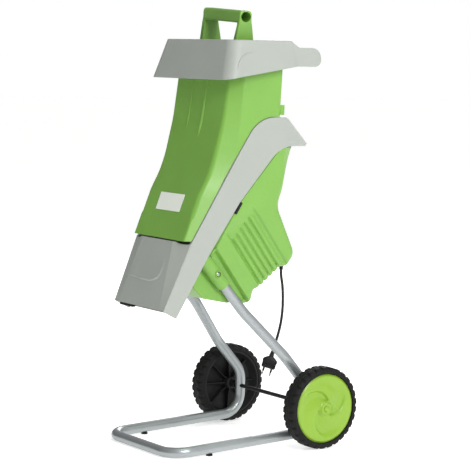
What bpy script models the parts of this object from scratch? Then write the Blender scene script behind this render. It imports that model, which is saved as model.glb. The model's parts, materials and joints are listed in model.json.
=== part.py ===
"""Electric garden shredder (wood chipper) on a wheeled tube frame.

Metres, +Z up, the discharge side faces -Y. Every shape is written in the machine frame,
whose Y zero is the wheel axle, and the "machine" empty moves it all so that the world
origin lies under the middle of the whole object, on the ground.
"""
import math

import bmesh
import bpy
from mathutils import Quaternion, Vector

# ---------------------------------------------------------------- driving dimensions
AXLE_Y = 0.1505              # world Y of the wheel axle
GAP = 0.0004                 # clearance between pieces that touch

WHEEL_RADIUS = 0.1
WHEEL_WIDTH = 0.045
WHEEL_X = 0.199              # centre plane of each wheel
LUG_DEPTH = 0.0035
LUGS = 24
AXLE_RADIUS = 0.005
BORE = AXLE_RADIUS + GAP

TUBE_RADIUS = 0.0125
TUBE_WALL = 0.0016
RUNNER_X = 0.145             # half the distance between the ground runners
RUNNER_REAR = (0.003, 0.0306)  # (y, z) where a runner's centreline meets its upright
LEG_TOP_X = 0.103            # half the distance between the legs in their sockets
FRONT_BAR_Y = -0.3885
STUD_Y = -0.285              # rubber studs under the ground runners
LEG_LEAN = 0.883             # how far the leg goes forward for each metre up
LEG_FOOT = (-0.022, 0.166)   # a point (y, z) on the leg's straight run
LEG_TOP_Z = 0.446
LEG_BENDS = (0.330, 0.222)   # heights between which a leg spreads from socket to runner
BEND_RADII = [0.09, 0.09, 0.06, 0.052, 0.05]  # of the tube's bends, from the socket down
SOCKET_Z = 0.397             # lower end of the leg sockets
LEG_SCREW_Z = 0.428
SOCKET_RADIUS = 0.0162
SCREW_HOLE = 0.0033

SIDE_X = 0.111               # half width across the side bands at SIDE_Z
SIDE_Z = 0.35
SIDE_FLARE = 0.06            # how much the half width grows for each metre up
BAND_THICKNESS = 0.010
SHELL_INSET = 0.003          # green shells sit this far inside the bands
WALL = 0.003

HINGE = (-0.3382, 0.510)      # (y, z) of the hinge between feed hopper and chassis
SEAM_TOP = 0.5085            # lower edge of the feed hopper's front wall
SEAM_BOTTOM = 0.505          # upper edge of the chute cover
KNUCKLE_RADIUS = 0.004
HINGE_PIN_RADIUS = 0.0020
LATCH = (-0.044, 0.7685)     # (y, z) where the locking knob's axis meets the bridge
BOLT_RADIUS = 0.0039

DISC_CENTRE = (-0.230, 0.616)
DISC_TILT = math.atan2(0.8, 0.6)
DISC_RADIUS = 0.097
BLADE_HOLE = 0.0031
HOOD_TOP = 0.981
FUNNEL_TOP = 0.930
ARM_CENTRE = (-0.0187, 0.9435)
ARM_INNER_X = 0.1415
ARM_RADIUS = 0.0225
BAR_RADIUS = 0.0125          # transport bar between the hood's arms
BAR_WALL = 0.002
TAMPER_Y = -0.1635           # where the tamper stands in the hopper's mouth
FRONT_SWING = 0.0098         # reach of the hopper wall's lower edge about the hinge

CORD_RADIUS = 0.0033
CORD_ROUTE = [
    (0.0780, -0.0390, 0.4248),
    (0.0779, -0.0383, 0.4100),
    (0.0770, -0.0330, 0.3850),
    (0.0758, -0.0300, 0.3600),
    (0.0748, -0.0290, 0.3350),
    (0.0738, -0.0300, 0.3100),
    (0.0724, -0.0332, 0.2850),
    (0.0708, -0.0385, 0.2620),
    (0.0694, -0.0450, 0.2400),
    (0.0684, -0.0502, 0.2230),
]
CORD_EXIT = (0.078, -0.039)  # (x, y) of the cord's hole in the casing's belly
PLUG_FACING = math.radians(55.0)
PIN_SPACING = 0.019
PIN_RADIUS = 0.0020

# ---------------------------------------------------------------- materials
COLOURS = {
    "green_plastic": ((0.22, 0.47, 0.09), 0.38, 0.0),
    "grey_plastic": ((0.56, 0.58, 0.56), 0.42, 0.0),
    "wheel_green": ((0.33, 0.60, 0.06), 0.35, 0.0),
    "black_plastic": ((0.02, 0.02, 0.022), 0.45, 0.0),
    "rubber": ((0.015, 0.015, 0.016), 0.75, 0.0),
    "cord_black": ((0.01, 0.01, 0.01), 0.5, 0.0),
    "painted_tube": ((0.45, 0.47, 0.49), 0.35, 0.6),
    "steel": ((0.55, 0.56, 0.58), 0.3, 1.0),
    "core_steel": ((0.28, 0.28, 0.30), 0.5, 0.9),
    "copper": ((0.72, 0.36, 0.18), 0.35, 1.0),
    "brass": ((0.75, 0.60, 0.30), 0.3, 1.0),
    "label_white": ((0.85, 0.88, 0.80), 0.4, 0.0),
    "red_plastic": ((0.60, 0.03, 0.02), 0.4, 0.0),
    "button_green": ((0.03, 0.35, 0.06), 0.4, 0.0),
}


def material(name):
    """Return the named Principled material, making it on first use."""
    found = bpy.data.materials.get(name)
    if found:
        return found
    colour, roughness, metallic = COLOURS[name]
    made = bpy.data.materials.new(name)
    made.use_nodes = True
    shader = made.node_tree.nodes["Principled BSDF"]
    shader.inputs["Base Color"].default_value = (*colour, 1.0)
    shader.inputs["Roughness"].default_value = roughness
    shader.inputs["Metallic"].default_value = metallic
    made.diffuse_color = (*colour, 1.0)
    return made


# ---------------------------------------------------------------- scene helpers
def clear_scene():
    for item in list(bpy.data.objects):
        bpy.data.objects.remove(item, do_unlink=True)


def empty(name, location, parent=None, rotation=(0.0, 0.0, 0.0)):
    made = bpy.data.objects.new(name, None)
    bpy.context.scene.collection.objects.link(made)
    made.location = location
    made.rotation_euler = rotation
    made.parent = parent
    return made


def solid(name, shape, look, parent, origin=(0.0, 0.0, 0.0)):
    """Make a mesh object from (vertices, faces), with its origin at a point of its parent."""
    vertices, faces = shape
    shift = Vector(origin)
    mesh = bpy.data.meshes.new(name)
    mesh.from_pydata([Vector(v) - shift for v in vertices], [], faces)
    work = bmesh.new()
    work.from_mesh(mesh)
    bmesh.ops.recalc_face_normals(work, faces=work.faces)
    work.to_mesh(mesh)
    work.free()
    made = bpy.data.objects.new(name, mesh)
    bpy.context.scene.collection.objects.link(made)
    made.parent = parent
    made.location = origin
    mesh.materials.append(material(look))
    round_off(mesh)
    return made


def round_off(mesh):
    mesh.shade_smooth()
    mesh.set_sharp_from_angle(angle=math.radians(32.0))


def combine(target, tool, operation):
    """Cut, join or intersect the target with a tool object, which is then removed."""
    step = target.modifiers.new(operation, "BOOLEAN")
    step.operation = operation
    step.solver = "EXACT"
    step.object = tool
    bpy.context.view_layer.update()
    scene_state = bpy.context.evaluated_depsgraph_get()
    result = bpy.data.meshes.new_from_object(target.evaluated_get(scene_state))
    target.modifiers.clear()
    look = target.data.materials[0]
    target.data = result
    result.materials.clear()
    result.materials.append(look)
    round_off(result)
    bpy.data.objects.remove(tool, do_unlink=True)
    return target


def cut(target, *shapes):
    for shape in shapes:
        combine(target, solid("cutter", shape, "steel", target.parent), "DIFFERENCE")
    return target


def join(target, *shapes):
    for shape in shapes:
        combine(target, solid("addition", shape, "steel", target.parent), "UNION")
    return target


# ---------------------------------------------------------------- shape makers
def side_x(z, inset=0.0):
    """Half width of the machine's flared sides at a height."""
    return SIDE_X + SIDE_FLARE * (z - SIDE_Z) - inset


def rounded(corners, steps=5):
    """Turn (a, b) or (a, b, radius) corners into an outline with arcs at the radii."""
    outline = []
    count = len(corners)
    for index, corner in enumerate(corners):
        here = Vector(corner[:2])
        radius = corner[2] if len(corner) > 2 else 0.0
        if radius == 0.0:
            outline.append(tuple(here))
            continue
        before = (Vector(corners[index - 1][:2]) - here).normalized()
        after = (Vector(corners[(index + 1) % count][:2]) - here).normalized()
        half = before.angle(after) / 2.0
        centre = here + (before + after).normalized() * (radius / math.sin(half))
        start = here + before * (radius / math.tan(half)) - centre
        turn = start.angle_signed(here + after * (radius / math.tan(half)) - centre)
        for step in range(steps + 1):
            angle = -turn * step / steps
            swung = Vector((start.x * math.cos(angle) - start.y * math.sin(angle),
                            start.x * math.sin(angle) + start.y * math.cos(angle)))
            outline.append(tuple(centre + swung))
    return outline


def loft(rings):
    """Join rings with equal point counts into one closed body with flat ends."""
    size = len(rings[0])
    vertices = [point for ring in rings for point in ring]
    faces = []
    for level in range(len(rings) - 1):
        low = level * size
        for i in range(size):
            j = (i + 1) % size
            faces.append((low + i, low + j, low + size + j, low + size + i))
    faces.append(tuple(range(size)))
    faces.append(tuple(range(len(vertices) - size, len(vertices))))
    return vertices, faces


def loop_loft(rings):
    """Join rings into one closed tunnel-shaped body whose last ring meets its first."""
    size = len(rings[0])
    total = len(rings)
    vertices = [point for ring in rings for point in ring]
    faces = []
    for level in range(total):
        low = level * size
        high = ((level + 1) % total) * size
        for i in range(size):
            j = (i + 1) % size
            faces.append((low + i, low + j, high + j, high + i))
    return vertices, faces


def prism(outline, low, high):
    """Extrude a (y, z) outline along X between two widths, each a number or f(z)."""
    def at(width, z):
        return width(z) if callable(width) else width
    return loft([[(at(low, z), y, z) for y, z in outline],
                 [(at(high, z), y, z) for y, z in outline]])


def flared(outline, inset):
    """Extrude a (y, z) outline across the machine, up to its flared sides."""
    return prism(outline, lambda z: -side_x(z, inset), lambda z: side_x(z, inset))


def box(low, high):
    (x0, y0, z0), (x1, y1, z1) = low, high
    ring = [(x0, y0), (x1, y0), (x1, y1), (x0, y1)]
    return loft([[(x, y, z0) for x, y in ring], [(x, y, z1) for x, y in ring]])


def lathe(profile, segments=24, radius_at=None, phase=0.0):
    """Turn a closed (radius, height) profile about Z; points on the axis become poles."""
    vertices = []
    faces = []
    rows = []
    for index, (radius, height) in enumerate(profile):
        if radius == 0.0:
            rows.append([len(vertices)] * segments)
            vertices.append((0.0, 0.0, height))
            continue
        row = []
        for step in range(segments):
            angle = 2.0 * math.pi * (step + phase) / segments
            here = radius_at(index, step, radius) if radius_at else radius
            row.append(len(vertices))
            vertices.append((here * math.cos(angle), here * math.sin(angle), height))
        rows.append(row)
    for index, row in enumerate(rows):
        following = rows[(index + 1) % len(rows)]
        if row[0] == row[1] and following[0] == following[1]:
            continue
        for i in range(segments):
            j = (i + 1) % segments
            corners = [row[i], row[j], following[j], following[i]]
            faces.append(tuple(dict.fromkeys(corners)))
    return vertices, faces


def disc(radius, low, high, segments=24):
    return lathe([(0.0, low), (radius, low), (radius, high), (0.0, high)], segments)


def drill(radius, low, high, segments=16):
    """A round cutter, turned a little so that its corners miss the work's own edges."""
    return lathe([(0.0, low), (radius, low), (radius, high), (0.0, high)], segments, phase=0.3)


def washer(inner, outer, low, high, segments=24):
    return lathe([(inner, low), (outer, low), (outer, high), (inner, high)], segments)


def place(shape, base, direction):
    """Move a shape made about Z so that its zero is at base and its Z along direction."""
    turn = Vector((0.0, 0.0, 1.0)).rotation_difference(Vector(direction).normalized())
    vertices, faces = shape
    return [tuple(turn @ Vector(v) + Vector(base)) for v in vertices], faces


def moved(shape, offset):
    vertices, faces = shape
    return [tuple(Vector(v) + Vector(offset)) for v in vertices], faces


def bent_path(corners, radii, steps=4):
    """A tube's centreline: straight runs between corners, with an arc at each bend."""
    path = [Vector(corners[0])]
    for before, corner, after, radius in zip(corners, corners[1:], corners[2:], radii):
        here = Vector(corner)
        back = (Vector(before) - here).normalized()
        ahead = (Vector(after) - here).normalized()
        half = back.angle(ahead) / 2.0
        centre = here + (back + ahead).normalized() * (radius / math.sin(half))
        start = here + back * (radius / math.tan(half)) - centre
        end = here + ahead * (radius / math.tan(half)) - centre
        sweep = start.angle(end)
        for step in range(steps + 1):
            part = step / steps
            blend = (math.sin((1 - part) * sweep) * start + math.sin(part * sweep) * end)
            path.append(centre + blend / math.sin(sweep))
    path.append(Vector(corners[-1]))
    return path


def tube_rings(path, radius, sides):
    """Rings of points round a path, without twist."""
    rings = []
    across = Vector((0.0, 0.0, 1.0))
    for index, point in enumerate(path):
        ahead = path[min(index + 1, len(path) - 1)] - point
        back = point - path[max(index - 1, 0)]
        along = (ahead.normalized() + back.normalized()).normalized()
        if abs(across.dot(along)) > 0.95:
            across = Vector((0.0, 1.0, 0.0))
        across = (across - along * across.dot(along)).normalized()
        other = along.cross(across)
        ring = []
        for step in range(sides):
            angle = 2.0 * math.pi * step / sides
            ring.append(point + (across * math.cos(angle) + other * math.sin(angle)) * radius)
        rings.append(ring)
    return rings


def hollow_tube(path, radius, wall, sides):
    outer = tube_rings(path, radius, sides)
    inner = tube_rings(path, radius - wall, sides)
    return loop_loft(outer + inner[::-1])


# ---------------------------------------------------------------- outlines (y, z)
BAND_FRONT = [(-0.398, 0.346), (-0.329, 0.507), (-0.207, 0.717), (-0.156, 0.7995, 0.080)]
BEAK = [(-0.075, 0.7995, 0.012), (-0.0115, 0.736, 0.003), (-0.016, 0.730, 0.002)]
BAND_REAR = [(-0.088, 0.730, 0.080), (-0.198, 0.598), (-0.2765, 0.477), (-0.362, 0.327)]

HOUSING_SIDE = [
    (-0.2690, 0.4715),
    (-0.1824, 0.3696),
    (-0.1640, 0.3520, 0.010),
    (-0.1430, 0.3520, 0.008),
    (-0.1360, 0.3800),
    (-0.1180, 0.3880),
    (-0.0780, 0.4190),
    (-0.0600, 0.4350),
    (-0.0380, 0.4370, 0.010),
    (-0.0130, 0.4650, 0.018),
    (-0.0800, 0.5860, 0.030),
    (-0.0320, 0.7280),
    (-0.0840, 0.7270, 0.070),
    (-0.1960, 0.5960),
]
HOUSING_HOLLOW = [
    (-0.2720, 0.4850),
    (-0.2490, 0.4490),
    (-0.1785, 0.3700),
    (-0.1620, 0.3560),
    (-0.1450, 0.3570),
    (-0.1390, 0.3850),
    (-0.0570, 0.4420),
    (-0.0360, 0.4420),
    (-0.0200, 0.4640),
    (-0.0860, 0.5850),
    (-0.0370, 0.7330),
    (-0.0700, 0.7420),
    (-0.1960, 0.6060),
]
SOCKET_BLOCK = [
    (-0.2735, 0.4700),
    (-0.2995, 0.4240),
    (-0.3060, 0.3960, 0.008),
    (-0.2750, 0.3670),
    (-0.2050, 0.3530),
    (-0.1640, 0.3560),
    (-0.1700, 0.4000),
    (-0.2400, 0.4640),
]
SOCKET_HOLLOW = [
    (-0.2680, 0.4760),
    (-0.2960, 0.4240),
    (-0.3010, 0.3990),
    (-0.2740, 0.3710),
    (-0.2050, 0.3570),
    (-0.1650, 0.3600),
    (-0.1700, 0.4050),
    (-0.2400, 0.4760),
]
BRIDGE = [
    (-0.1150, 0.7990),
    (-0.0752, 0.7990),
    (-0.0127, 0.7365),
    (-0.0170, 0.7322),
    (-0.0770, 0.7922),
    (-0.1150, 0.7930),
]
# (height, front face, edge between chamfer and side) of the feed hopper's walls
FUNNEL_STATIONS = [
    (FUNNEL_TOP, -0.2215, -0.2000),
    (0.885, -0.2285, -0.2005),
    (0.790, -0.2430, -0.2060),
    (0.700, -0.2660, -0.2140),
    (0.655, -0.2830, -0.2380),
    (0.622, -0.3030, -0.2620),
    (SEAM_TOP, -0.3475, -0.3315),
]
FUNNEL_REAR = -0.093
FUNNEL_FRONT_X = 0.110


def leg_y(z):
    return LEG_FOOT[0] - LEG_LEAN * (z - LEG_FOOT[1])


# ---------------------------------------------------------------- frame and wheels
def frame_path():
    knee_z = LEG_FOOT[1] - (RUNNER_REAR[0] - LEG_FOOT[0]) / LEG_LEAN
    side = [
        (LEG_TOP_X, leg_y(LEG_TOP_Z), LEG_TOP_Z),
        (LEG_TOP_X, leg_y(LEG_BENDS[0]), LEG_BENDS[0]),
        (RUNNER_X, leg_y(LEG_BENDS[1]), LEG_BENDS[1]),
        (RUNNER_X, RUNNER_REAR[0], knee_z),
        (RUNNER_X, *RUNNER_REAR),
        (RUNNER_X, FRONT_BAR_Y, TUBE_RADIUS),
    ]
    radii = BEND_RADII
    other = [(-x, y, z) for x, y, z in reversed(side)]
    return bent_path(side + other, radii + radii[::-1])


def stud_point(side):
    rise = (STUD_Y - FRONT_BAR_Y) / (RUNNER_REAR[0] - FRONT_BAR_Y)
    return side * RUNNER_X, STUD_Y, TUBE_RADIUS + rise * (RUNNER_REAR[1] - TUBE_RADIUS)


def make_frame(machine):
    frame = solid("frame_tube", hollow_tube(frame_path(), TUBE_RADIUS, TUBE_WALL, 12),
                  "painted_tube", machine)
    cut(frame, place(drill(BORE, -0.2, 0.2), (0.0, 0.0, WHEEL_RADIUS), (1, 0, 0)))
    for side in (-1, 1):
        cut(frame, place(drill(SCREW_HOLE, 0.0, 0.03), leg_point(side, LEG_SCREW_Z), (side, 0, 0)))
        x, y, z = stud_point(side)
        cut(frame, moved(drill(0.0033, -0.01, z - 0.002), (x, y, 0.0)))
        stem_top = z - TUBE_RADIUS + 0.006
        flat_top = z - TUBE_RADIUS - GAP
        stud = lathe([(0.0, 0.0), (0.0075, 0.0), (0.0085, 0.0015), (0.0075, flat_top),
                      (0.0029, flat_top), (0.0029, stem_top), (0.0, stem_top)], 16)
        solid(f"foot_stud_{'left' if side < 0 else 'right'}", moved(stud, (x, y, 0.0)),
              "rubber", machine)
    axle_end = WHEEL_X + 0.0145
    solid("axle", place(disc(AXLE_RADIUS, -axle_end, axle_end, 16),
                        (0.0, 0.0, WHEEL_RADIUS), (1, 0, 0)), "black_plastic", machine)


def make_wheel(machine, side):
    name = "left" if side < 0 else "right"
    hub = empty(f"wheel_{name}_axis", (side * WHEEL_X, 0.0, WHEEL_RADIUS), machine,
                (0.0, side * math.radians(90.0), 0.0))
    half = WHEEL_WIDTH / 2.0
    shoulder = (2, 5)

    def tread(index, step, radius):
        return radius - LUG_DEPTH if index in shoulder and step % 4 in (1, 2) else radius

    tyre = [(0.0843, -half), (0.094, -half), (WHEEL_RADIUS, -0.016), (WHEEL_RADIUS, -0.008),
            (WHEEL_RADIUS, 0.008), (WHEEL_RADIUS, 0.016), (0.094, half), (0.0843, half)]
    solid(f"tyre_{name}", lathe(tyre, LUGS * 4, tread), "rubber", hub)
    rim = [(BORE, -0.0215), (0.015, -0.0215), (0.017, 0.006), (0.073, 0.008), (0.079, -0.0215),
           (0.0839, -0.0215), (0.0839, 0.0162), (0.0745, 0.0162), (0.071, 0.0125), (BORE, 0.0105)]
    solid(f"wheel_rim_{name}", lathe(rim, 32), "black_plastic", hub)
    cover = [(0.0, 0.0168), (0.0838, 0.0168), (0.0838, 0.019), (0.079, 0.0222), (0.016, 0.0228),
             (0.0135, 0.0258), (0.011, 0.0258), (0.009, 0.0243), (0.0, 0.0243)]
    solid(f"wheel_disc_{name}", lathe(cover, 32), "wheel_green", hub)
    clip = washer(AXLE_RADIUS + GAP, 0.0095, 0.0109, 0.0121, 16)
    solid(f"axle_clip_{name}", place(clip, (side * WHEEL_X, 0.0, WHEEL_RADIUS), (side, 0, 0)),
          "steel", machine)
    spacer = washer(BORE, 0.009, RUNNER_X + TUBE_RADIUS + GAP, WHEEL_X - 0.0215 - GAP, 16)
    solid(f"wheel_spacer_{name}", place(spacer, (0.0, 0.0, WHEEL_RADIUS), (side, 0, 0)),
          "black_plastic", machine)


# ---------------------------------------------------------------- lower casing
def leg_point(side, z):
    return side * LEG_TOP_X, leg_y(z), z


def make_housing(machine):
    housing = solid("motor_housing", flared(rounded(HOUSING_SIDE, 4), SHELL_INSET),
                    "green_plastic", machine)
    block_x = 0.091
    hollow_x = 0.0845
    up_leg = (0.0, -LEG_LEAN, 1.0)
    length = (LEG_TOP_Z + 0.010 - SOCKET_Z) * math.hypot(1.0, LEG_LEAN)
    below = 0.30                 # the bores start well below the sockets
    tube_length = (LEG_TOP_Z + 0.0005 - below) * math.hypot(1.0, LEG_LEAN)
    join(housing, prism(rounded(SOCKET_BLOCK, 3), -block_x, block_x))
    for side in (-1, 1):
        socket = disc(SOCKET_RADIUS, 0.0, length, 20)
        join(housing, place(socket, leg_point(side, SOCKET_Z), up_leg))
    cut(housing, flared(HOUSING_HOLLOW, SHELL_INSET + WALL),
        prism(SOCKET_HOLLOW, -hollow_x, hollow_x))
    for side in (-1, 1):
        cut(housing,
            place(drill(TUBE_RADIUS + GAP, 0.0, tube_length), leg_point(side, below), up_leg),
            place(drill(SCREW_HOLE, 0.0, 0.03), leg_point(side, LEG_SCREW_Z), (side, 0, 0)))
    cut(housing, moved(drill(0.0067, -0.03, 0.03), (*CORD_EXIT, 0.44)))
    make_ribs(housing)
    return housing


def make_ribs(housing):
    """Slanted cooling slots through both side walls."""
    down = Vector((0.0, 0.6, -0.8))
    across = Vector((0.0, 0.8, 0.6))
    first = Vector((0.0, -0.158, 0.4545))
    for index in range(5):
        middle = first + across * (0.0195 * index)
        half = 0.052 - 0.002 * index
        for side in (-1, 1):
            corners = []
            for along, over in ((-half, -0.0016), (half, -0.0016), (half, 0.0016),
                                (-half, 0.0016)):
                corners.append(middle + down * along + across * over)
            rings = []
            for x in (side * 0.100, side * 0.130):
                rings.append([(x, corner.y, corner.z) for corner in corners])
            cut(housing, loft(rings))


def make_leg_screw(machine, side):
    """A pan-head screw that holds the leg in its socket."""
    shape = lathe([(0.0, -0.004), (0.0029, -0.004), (0.0029, 0.0045), (0.0055, 0.0045),
                   (0.0055, 0.0065), (0.004, 0.0078), (0.0, 0.0078)], 16)
    x, y, z = leg_point(side, LEG_SCREW_Z)
    solid(f"leg_screw_{'left' if side < 0 else 'right'}",
          place(shape, (side * (abs(x) + 0.0124), y, z), (side, 0, 0)), "steel", machine)


def make_bands(machine):
    outline = rounded(BAND_FRONT + BEAK + BAND_REAR, 6)
    for side in (-1, 1):
        low, high = BAND_THICKNESS, 0.0
        if side < 0:
            shape = prism(outline, lambda z: -side_x(z, high), lambda z: -side_x(z, low))
        else:
            shape = prism(outline, lambda z: side_x(z, low), lambda z: side_x(z, high))
        solid(f"side_band_{'left' if side < 0 else 'right'}", shape, "grey_plastic", machine)


def make_bridge(machine):
    """Rear cross piece between the bands, with the boss that takes the locking bolt."""
    bridge = solid("rear_bridge", flared(BRIDGE, BAND_THICKNESS + GAP), "grey_plastic", machine)
    seat = (0.0, LATCH[0], LATCH[1])
    outward = (0.0, 1.0, 1.0)
    join(bridge, place(disc(0.012, -0.024, -0.002, 20), seat, outward))
    cut(bridge, place(drill(0.0044, -0.03, 0.01), seat, outward))


def chute_ring(z, face_y, face_x, end_x, end_y, lip):
    """Cross section of the chute cover: a bent wall with chamfered corners."""
    outer = [(-end_x, end_y), (-face_x, face_y), (face_x, face_y), (end_x, end_y)]
    inner = [(end_x - lip, end_y), (face_x - lip * 0.4, face_y + lip),
             (lip * 0.4 - face_x, face_y + lip), (lip - end_x, end_y)]
    return [(x, y, z) for x, y in outer + inner]


def make_chute(machine):
    bottom_z = 0.3465
    rings = [
        chute_ring(bottom_z, -0.4000, 0.091, side_x(bottom_z), -0.3990, WALL),
        chute_ring(0.490, -0.3540, 0.070, side_x(0.490), -0.3380, WALL),
        chute_ring(SEAM_BOTTOM, -0.3488, 0.068, side_x(SEAM_BOTTOM), -0.3312, 0.002),
    ]
    cover = solid("chute_cover", loft(rings), "grey_plastic", machine)
    for x0, x1 in ((-0.125, -0.070), (0.070, 0.125)):
        cut(cover, place(drill(FRONT_SWING, x0, x1, 32), (0.0, *HINGE), (1, 0, 0)))
    floor = [(-0.3570, 0.3330), (-0.3525, 0.3330), (-0.2560, 0.5075), (-0.2605, 0.5075)]
    solid("chute_floor", flared(floor, BAND_THICKNESS + GAP), "grey_plastic", machine)
    solid("chute_lip", box((-0.087, -0.3985, 0.3395), (-0.031, -0.3880, 0.3460)),
          "rubber", machine)


# ---------------------------------------------------------------- feed hopper
def funnel_rings(wall, low_extra, high_extra):
    rings = []
    stations = [list(station) for station in FUNNEL_STATIONS]
    stations[0][0] += high_extra
    stations[-1][0] -= low_extra
    for z, front, chamfer in stations:
        x = side_x(z, SHELL_INSET + wall)
        front_x = FUNNEL_FRONT_X - wall * 0.5
        rear = FUNNEL_REAR - wall
        rings.append([(x, rear, z), (x, chamfer + wall * 0.5, z), (front_x, front + wall, z),
                      (-front_x, front + wall, z), (-x, chamfer + wall * 0.5, z), (-x, rear, z)])
    return rings


def make_funnel(hopper):
    funnel = solid("feed_funnel", loft(funnel_rings(0.0, 0.0, 0.0)), "green_plastic", hopper)
    gap = 0.001
    parting = [(y - gap, z + gap, *rest) for y, z, *rest in BAND_FRONT]
    below = rounded(parting + [(0.05, 0.8005), (0.05, 0.30)], 6)
    cut(funnel, loft(funnel_rings(WALL, 0.002, 0.002)), prism(below, -0.2, 0.2))
    flange_x = side_x(0.81, SHELL_INSET)
    join(funnel, box((-flange_x, FUNNEL_REAR - WALL + GAP, 0.805), (flange_x, -0.083, 0.829)))
    add_latch_lug(funnel)
    add_knuckles(funnel)
    return funnel


def add_latch_lug(funnel):
    """A forked plate on the rear slope; its open end slides under the locking knob."""
    slope = Vector((0.0, math.sqrt(0.5), -math.sqrt(0.5)))
    normal = Vector((0.0, math.sqrt(0.5), math.sqrt(0.5)))
    seat = Vector((0.0, *LATCH))

    def slab(half_x, start, end, low, high):
        ring = []
        for along, up in ((start, low), (end, low), (end, high), (start, high)):
            point = seat + slope * along + normal * up
            ring.append((point.y, point.z))
        return prism(ring, -half_x, half_x)

    join(funnel, slab(0.026, -0.058, 0.010, 0.0008, 0.0045))
    cut(funnel, slab(0.0055, -0.006, 0.02, -0.002, 0.01))


def knuckle(x0, x1):
    return place(disc(KNUCKLE_RADIUS, x0, x1, 14), (0.0, *HINGE), (1, 0, 0))


def add_knuckles(funnel):
    for x0, x1 in ((-0.085, -0.035), (0.035, 0.085)):
        web = [(HINGE[0] - 0.0068, HINGE[1]), (HINGE[0] + 0.001, HINGE[1] + 0.0005),
               (HINGE[0] + 0.0036, HINGE[1] + 0.0020), (HINGE[0] - 0.0005, HINGE[1] + 0.0130)]
        join(funnel, prism(web, x0, x1), knuckle(x0, x1))
    cut(funnel, place(drill(HINGE_PIN_RADIUS + GAP, -0.1, 0.1, 12), (0.0, *HINGE), (1, 0, 0)))


def add_cover_knuckle(cover):
    """The middle knuckle; its bracket reaches in below the hopper wall's swing."""
    half = 0.030
    web = [(-0.3337, 0.5105), (-0.3370, 0.5070), (-0.3370, 0.4965), (-0.3523, 0.4925),
           (-0.3515, 0.4880), (-0.3337, 0.4930)]
    join(cover, prism(web, -half, half), knuckle(-half, half))
    cut(cover, place(drill(HINGE_PIN_RADIUS + GAP, -0.1, 0.1, 12), (0.0, *HINGE), (1, 0, 0)))


def hood_ring(z, front_y, rear_y, half_x, radius=0.028, slant=False):
    corners = [(half_x, rear_y, 0.006), (half_x, front_y, radius), (-half_x, front_y, radius),
               (-half_x, rear_y, 0.006)]
    ring = []
    for x, y in rounded(corners, 4):
        ring.append((x, y, min(z + 0.205 * (y - front_y), 0.9205) if slant else z))
    return ring


def arm_x(z):
    """Outer half width across the hood's arms, which lean in like the hood's sides."""
    return 0.1600 - 0.22 * (z - ARM_CENTRE[1])


def make_hood(hopper):
    throat_x = side_x(0.93, SHELL_INSET)
    rings = [
        hood_ring(0.8865, -0.2735, -0.0720, 0.1735, slant=True),
        hood_ring(0.9435, -0.2575, -0.0720, 0.1610),
        hood_ring(HOOD_TOP - 0.003, -0.2480, -0.0720, 0.1530),
        hood_ring(HOOD_TOP, -0.2455, -0.0745, 0.1505),
        hood_ring(HOOD_TOP, -0.2360, -0.0810, 0.1410, 0.022),
        hood_ring(FUNNEL_TOP + GAP, -0.2185, -0.0955, throat_x - WALL, 0.012),
        hood_ring(FUNNEL_TOP + GAP, -0.2215, -0.0925, throat_x, 0.012),
        hood_ring(HOOD_TOP - 0.006, -0.2400, -0.0785, 0.1450, 0.022),
        hood_ring(0.9435, -0.2540, -0.0755, 0.1575),
        hood_ring(0.8895, -0.2700, -0.0755, 0.1700, slant=True),
    ]
    hood = solid("hopper_hood", loop_loft(rings), "grey_plastic", hopper)
    y, z = ARM_CENTRE
    arm = rounded([(-0.090, z + ARM_RADIUS), (-0.090, z - ARM_RADIUS),
                   (y + ARM_RADIUS, z - ARM_RADIUS, ARM_RADIUS - 0.0005),
                   (y + ARM_RADIUS, z + ARM_RADIUS, ARM_RADIUS - 0.0005)], 5)
    for side in (-1, 1):
        join(hood, prism(arm, side * ARM_INNER_X, lambda z: side * arm_x(z)))
    return hood


def make_hopper(machine):
    """Everything that swings forward on the hinge at the lower front edge."""
    hopper = empty("hopper_axis", (0.0, *HINGE), machine)
    shifted = empty("hopper_frame", (0.0, -HINGE[0], -HINGE[1]), hopper)
    make_funnel(shifted)
    make_hood(shifted)
    bar_x = ARM_INNER_X - GAP
    bar = hollow_tube([Vector((-bar_x, *ARM_CENTRE)), Vector((bar_x, *ARM_CENTRE))],
                      BAR_RADIUS, BAR_WALL, 16)
    solid("transport_bar", bar, "black_plastic", shifted)
    plate = solid("feed_plate", box((-0.106, -0.094, 0.0125), (0.106, 0.098, 0.0155)),
                  "steel", disc_frame("feed_plate_axis", shifted))
    join(plate, box((-0.106, -0.094, 0.0150), (-0.103, 0.098, 0.030)),
         box((0.103, -0.094, 0.0150), (0.106, 0.098, 0.030)))
    cut(plate, box((-0.020, -0.075, 0.0), (0.085, 0.055, 0.04)))
    solid("counter_blade", box((0.0855, -0.060, 0.0090), (0.1000, 0.040, 0.0121)),
          "steel", disc_frame("counter_blade_axis", shifted))
    make_tamper(shifted)
    return shifted


def make_tamper(hopper):
    """Push-down tool with a D handle; it stands loosely in the hopper's mouth."""
    frame = empty("tamper_axis", (0.0, TAMPER_Y, FUNNEL_TOP), hopper,
                  (0.0, math.radians(3.0), math.radians(-7.0)))

    def level(z, half_x, half_y):
        return [(-half_x, -half_y, z), (half_x, -half_y, z), (half_x, half_y, z),
                (-half_x, half_y, z)]

    tamper = solid("tamper", loft([level(-0.130, 0.074, 0.018), level(0.000, 0.086, 0.024),
                                   level(0.040, 0.093, 0.027), level(0.096, 0.094, 0.018),
                                   level(0.106, 0.094, 0.0165), level(0.122, 0.094, 0.0165),
                                   level(0.125, 0.091, 0.0135)]), "green_plastic", frame)
    cut(tamper, box((-0.082, -0.05, 0.030), (0.082, 0.05, 0.096)),
        box((-0.070, -0.0145, -0.14), (0.070, 0.0145, 0.022)),
        place(drill(0.0105, -0.12, 0.12), (0.0, 0.0, 0.110), (1, 0, 0)))


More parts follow.
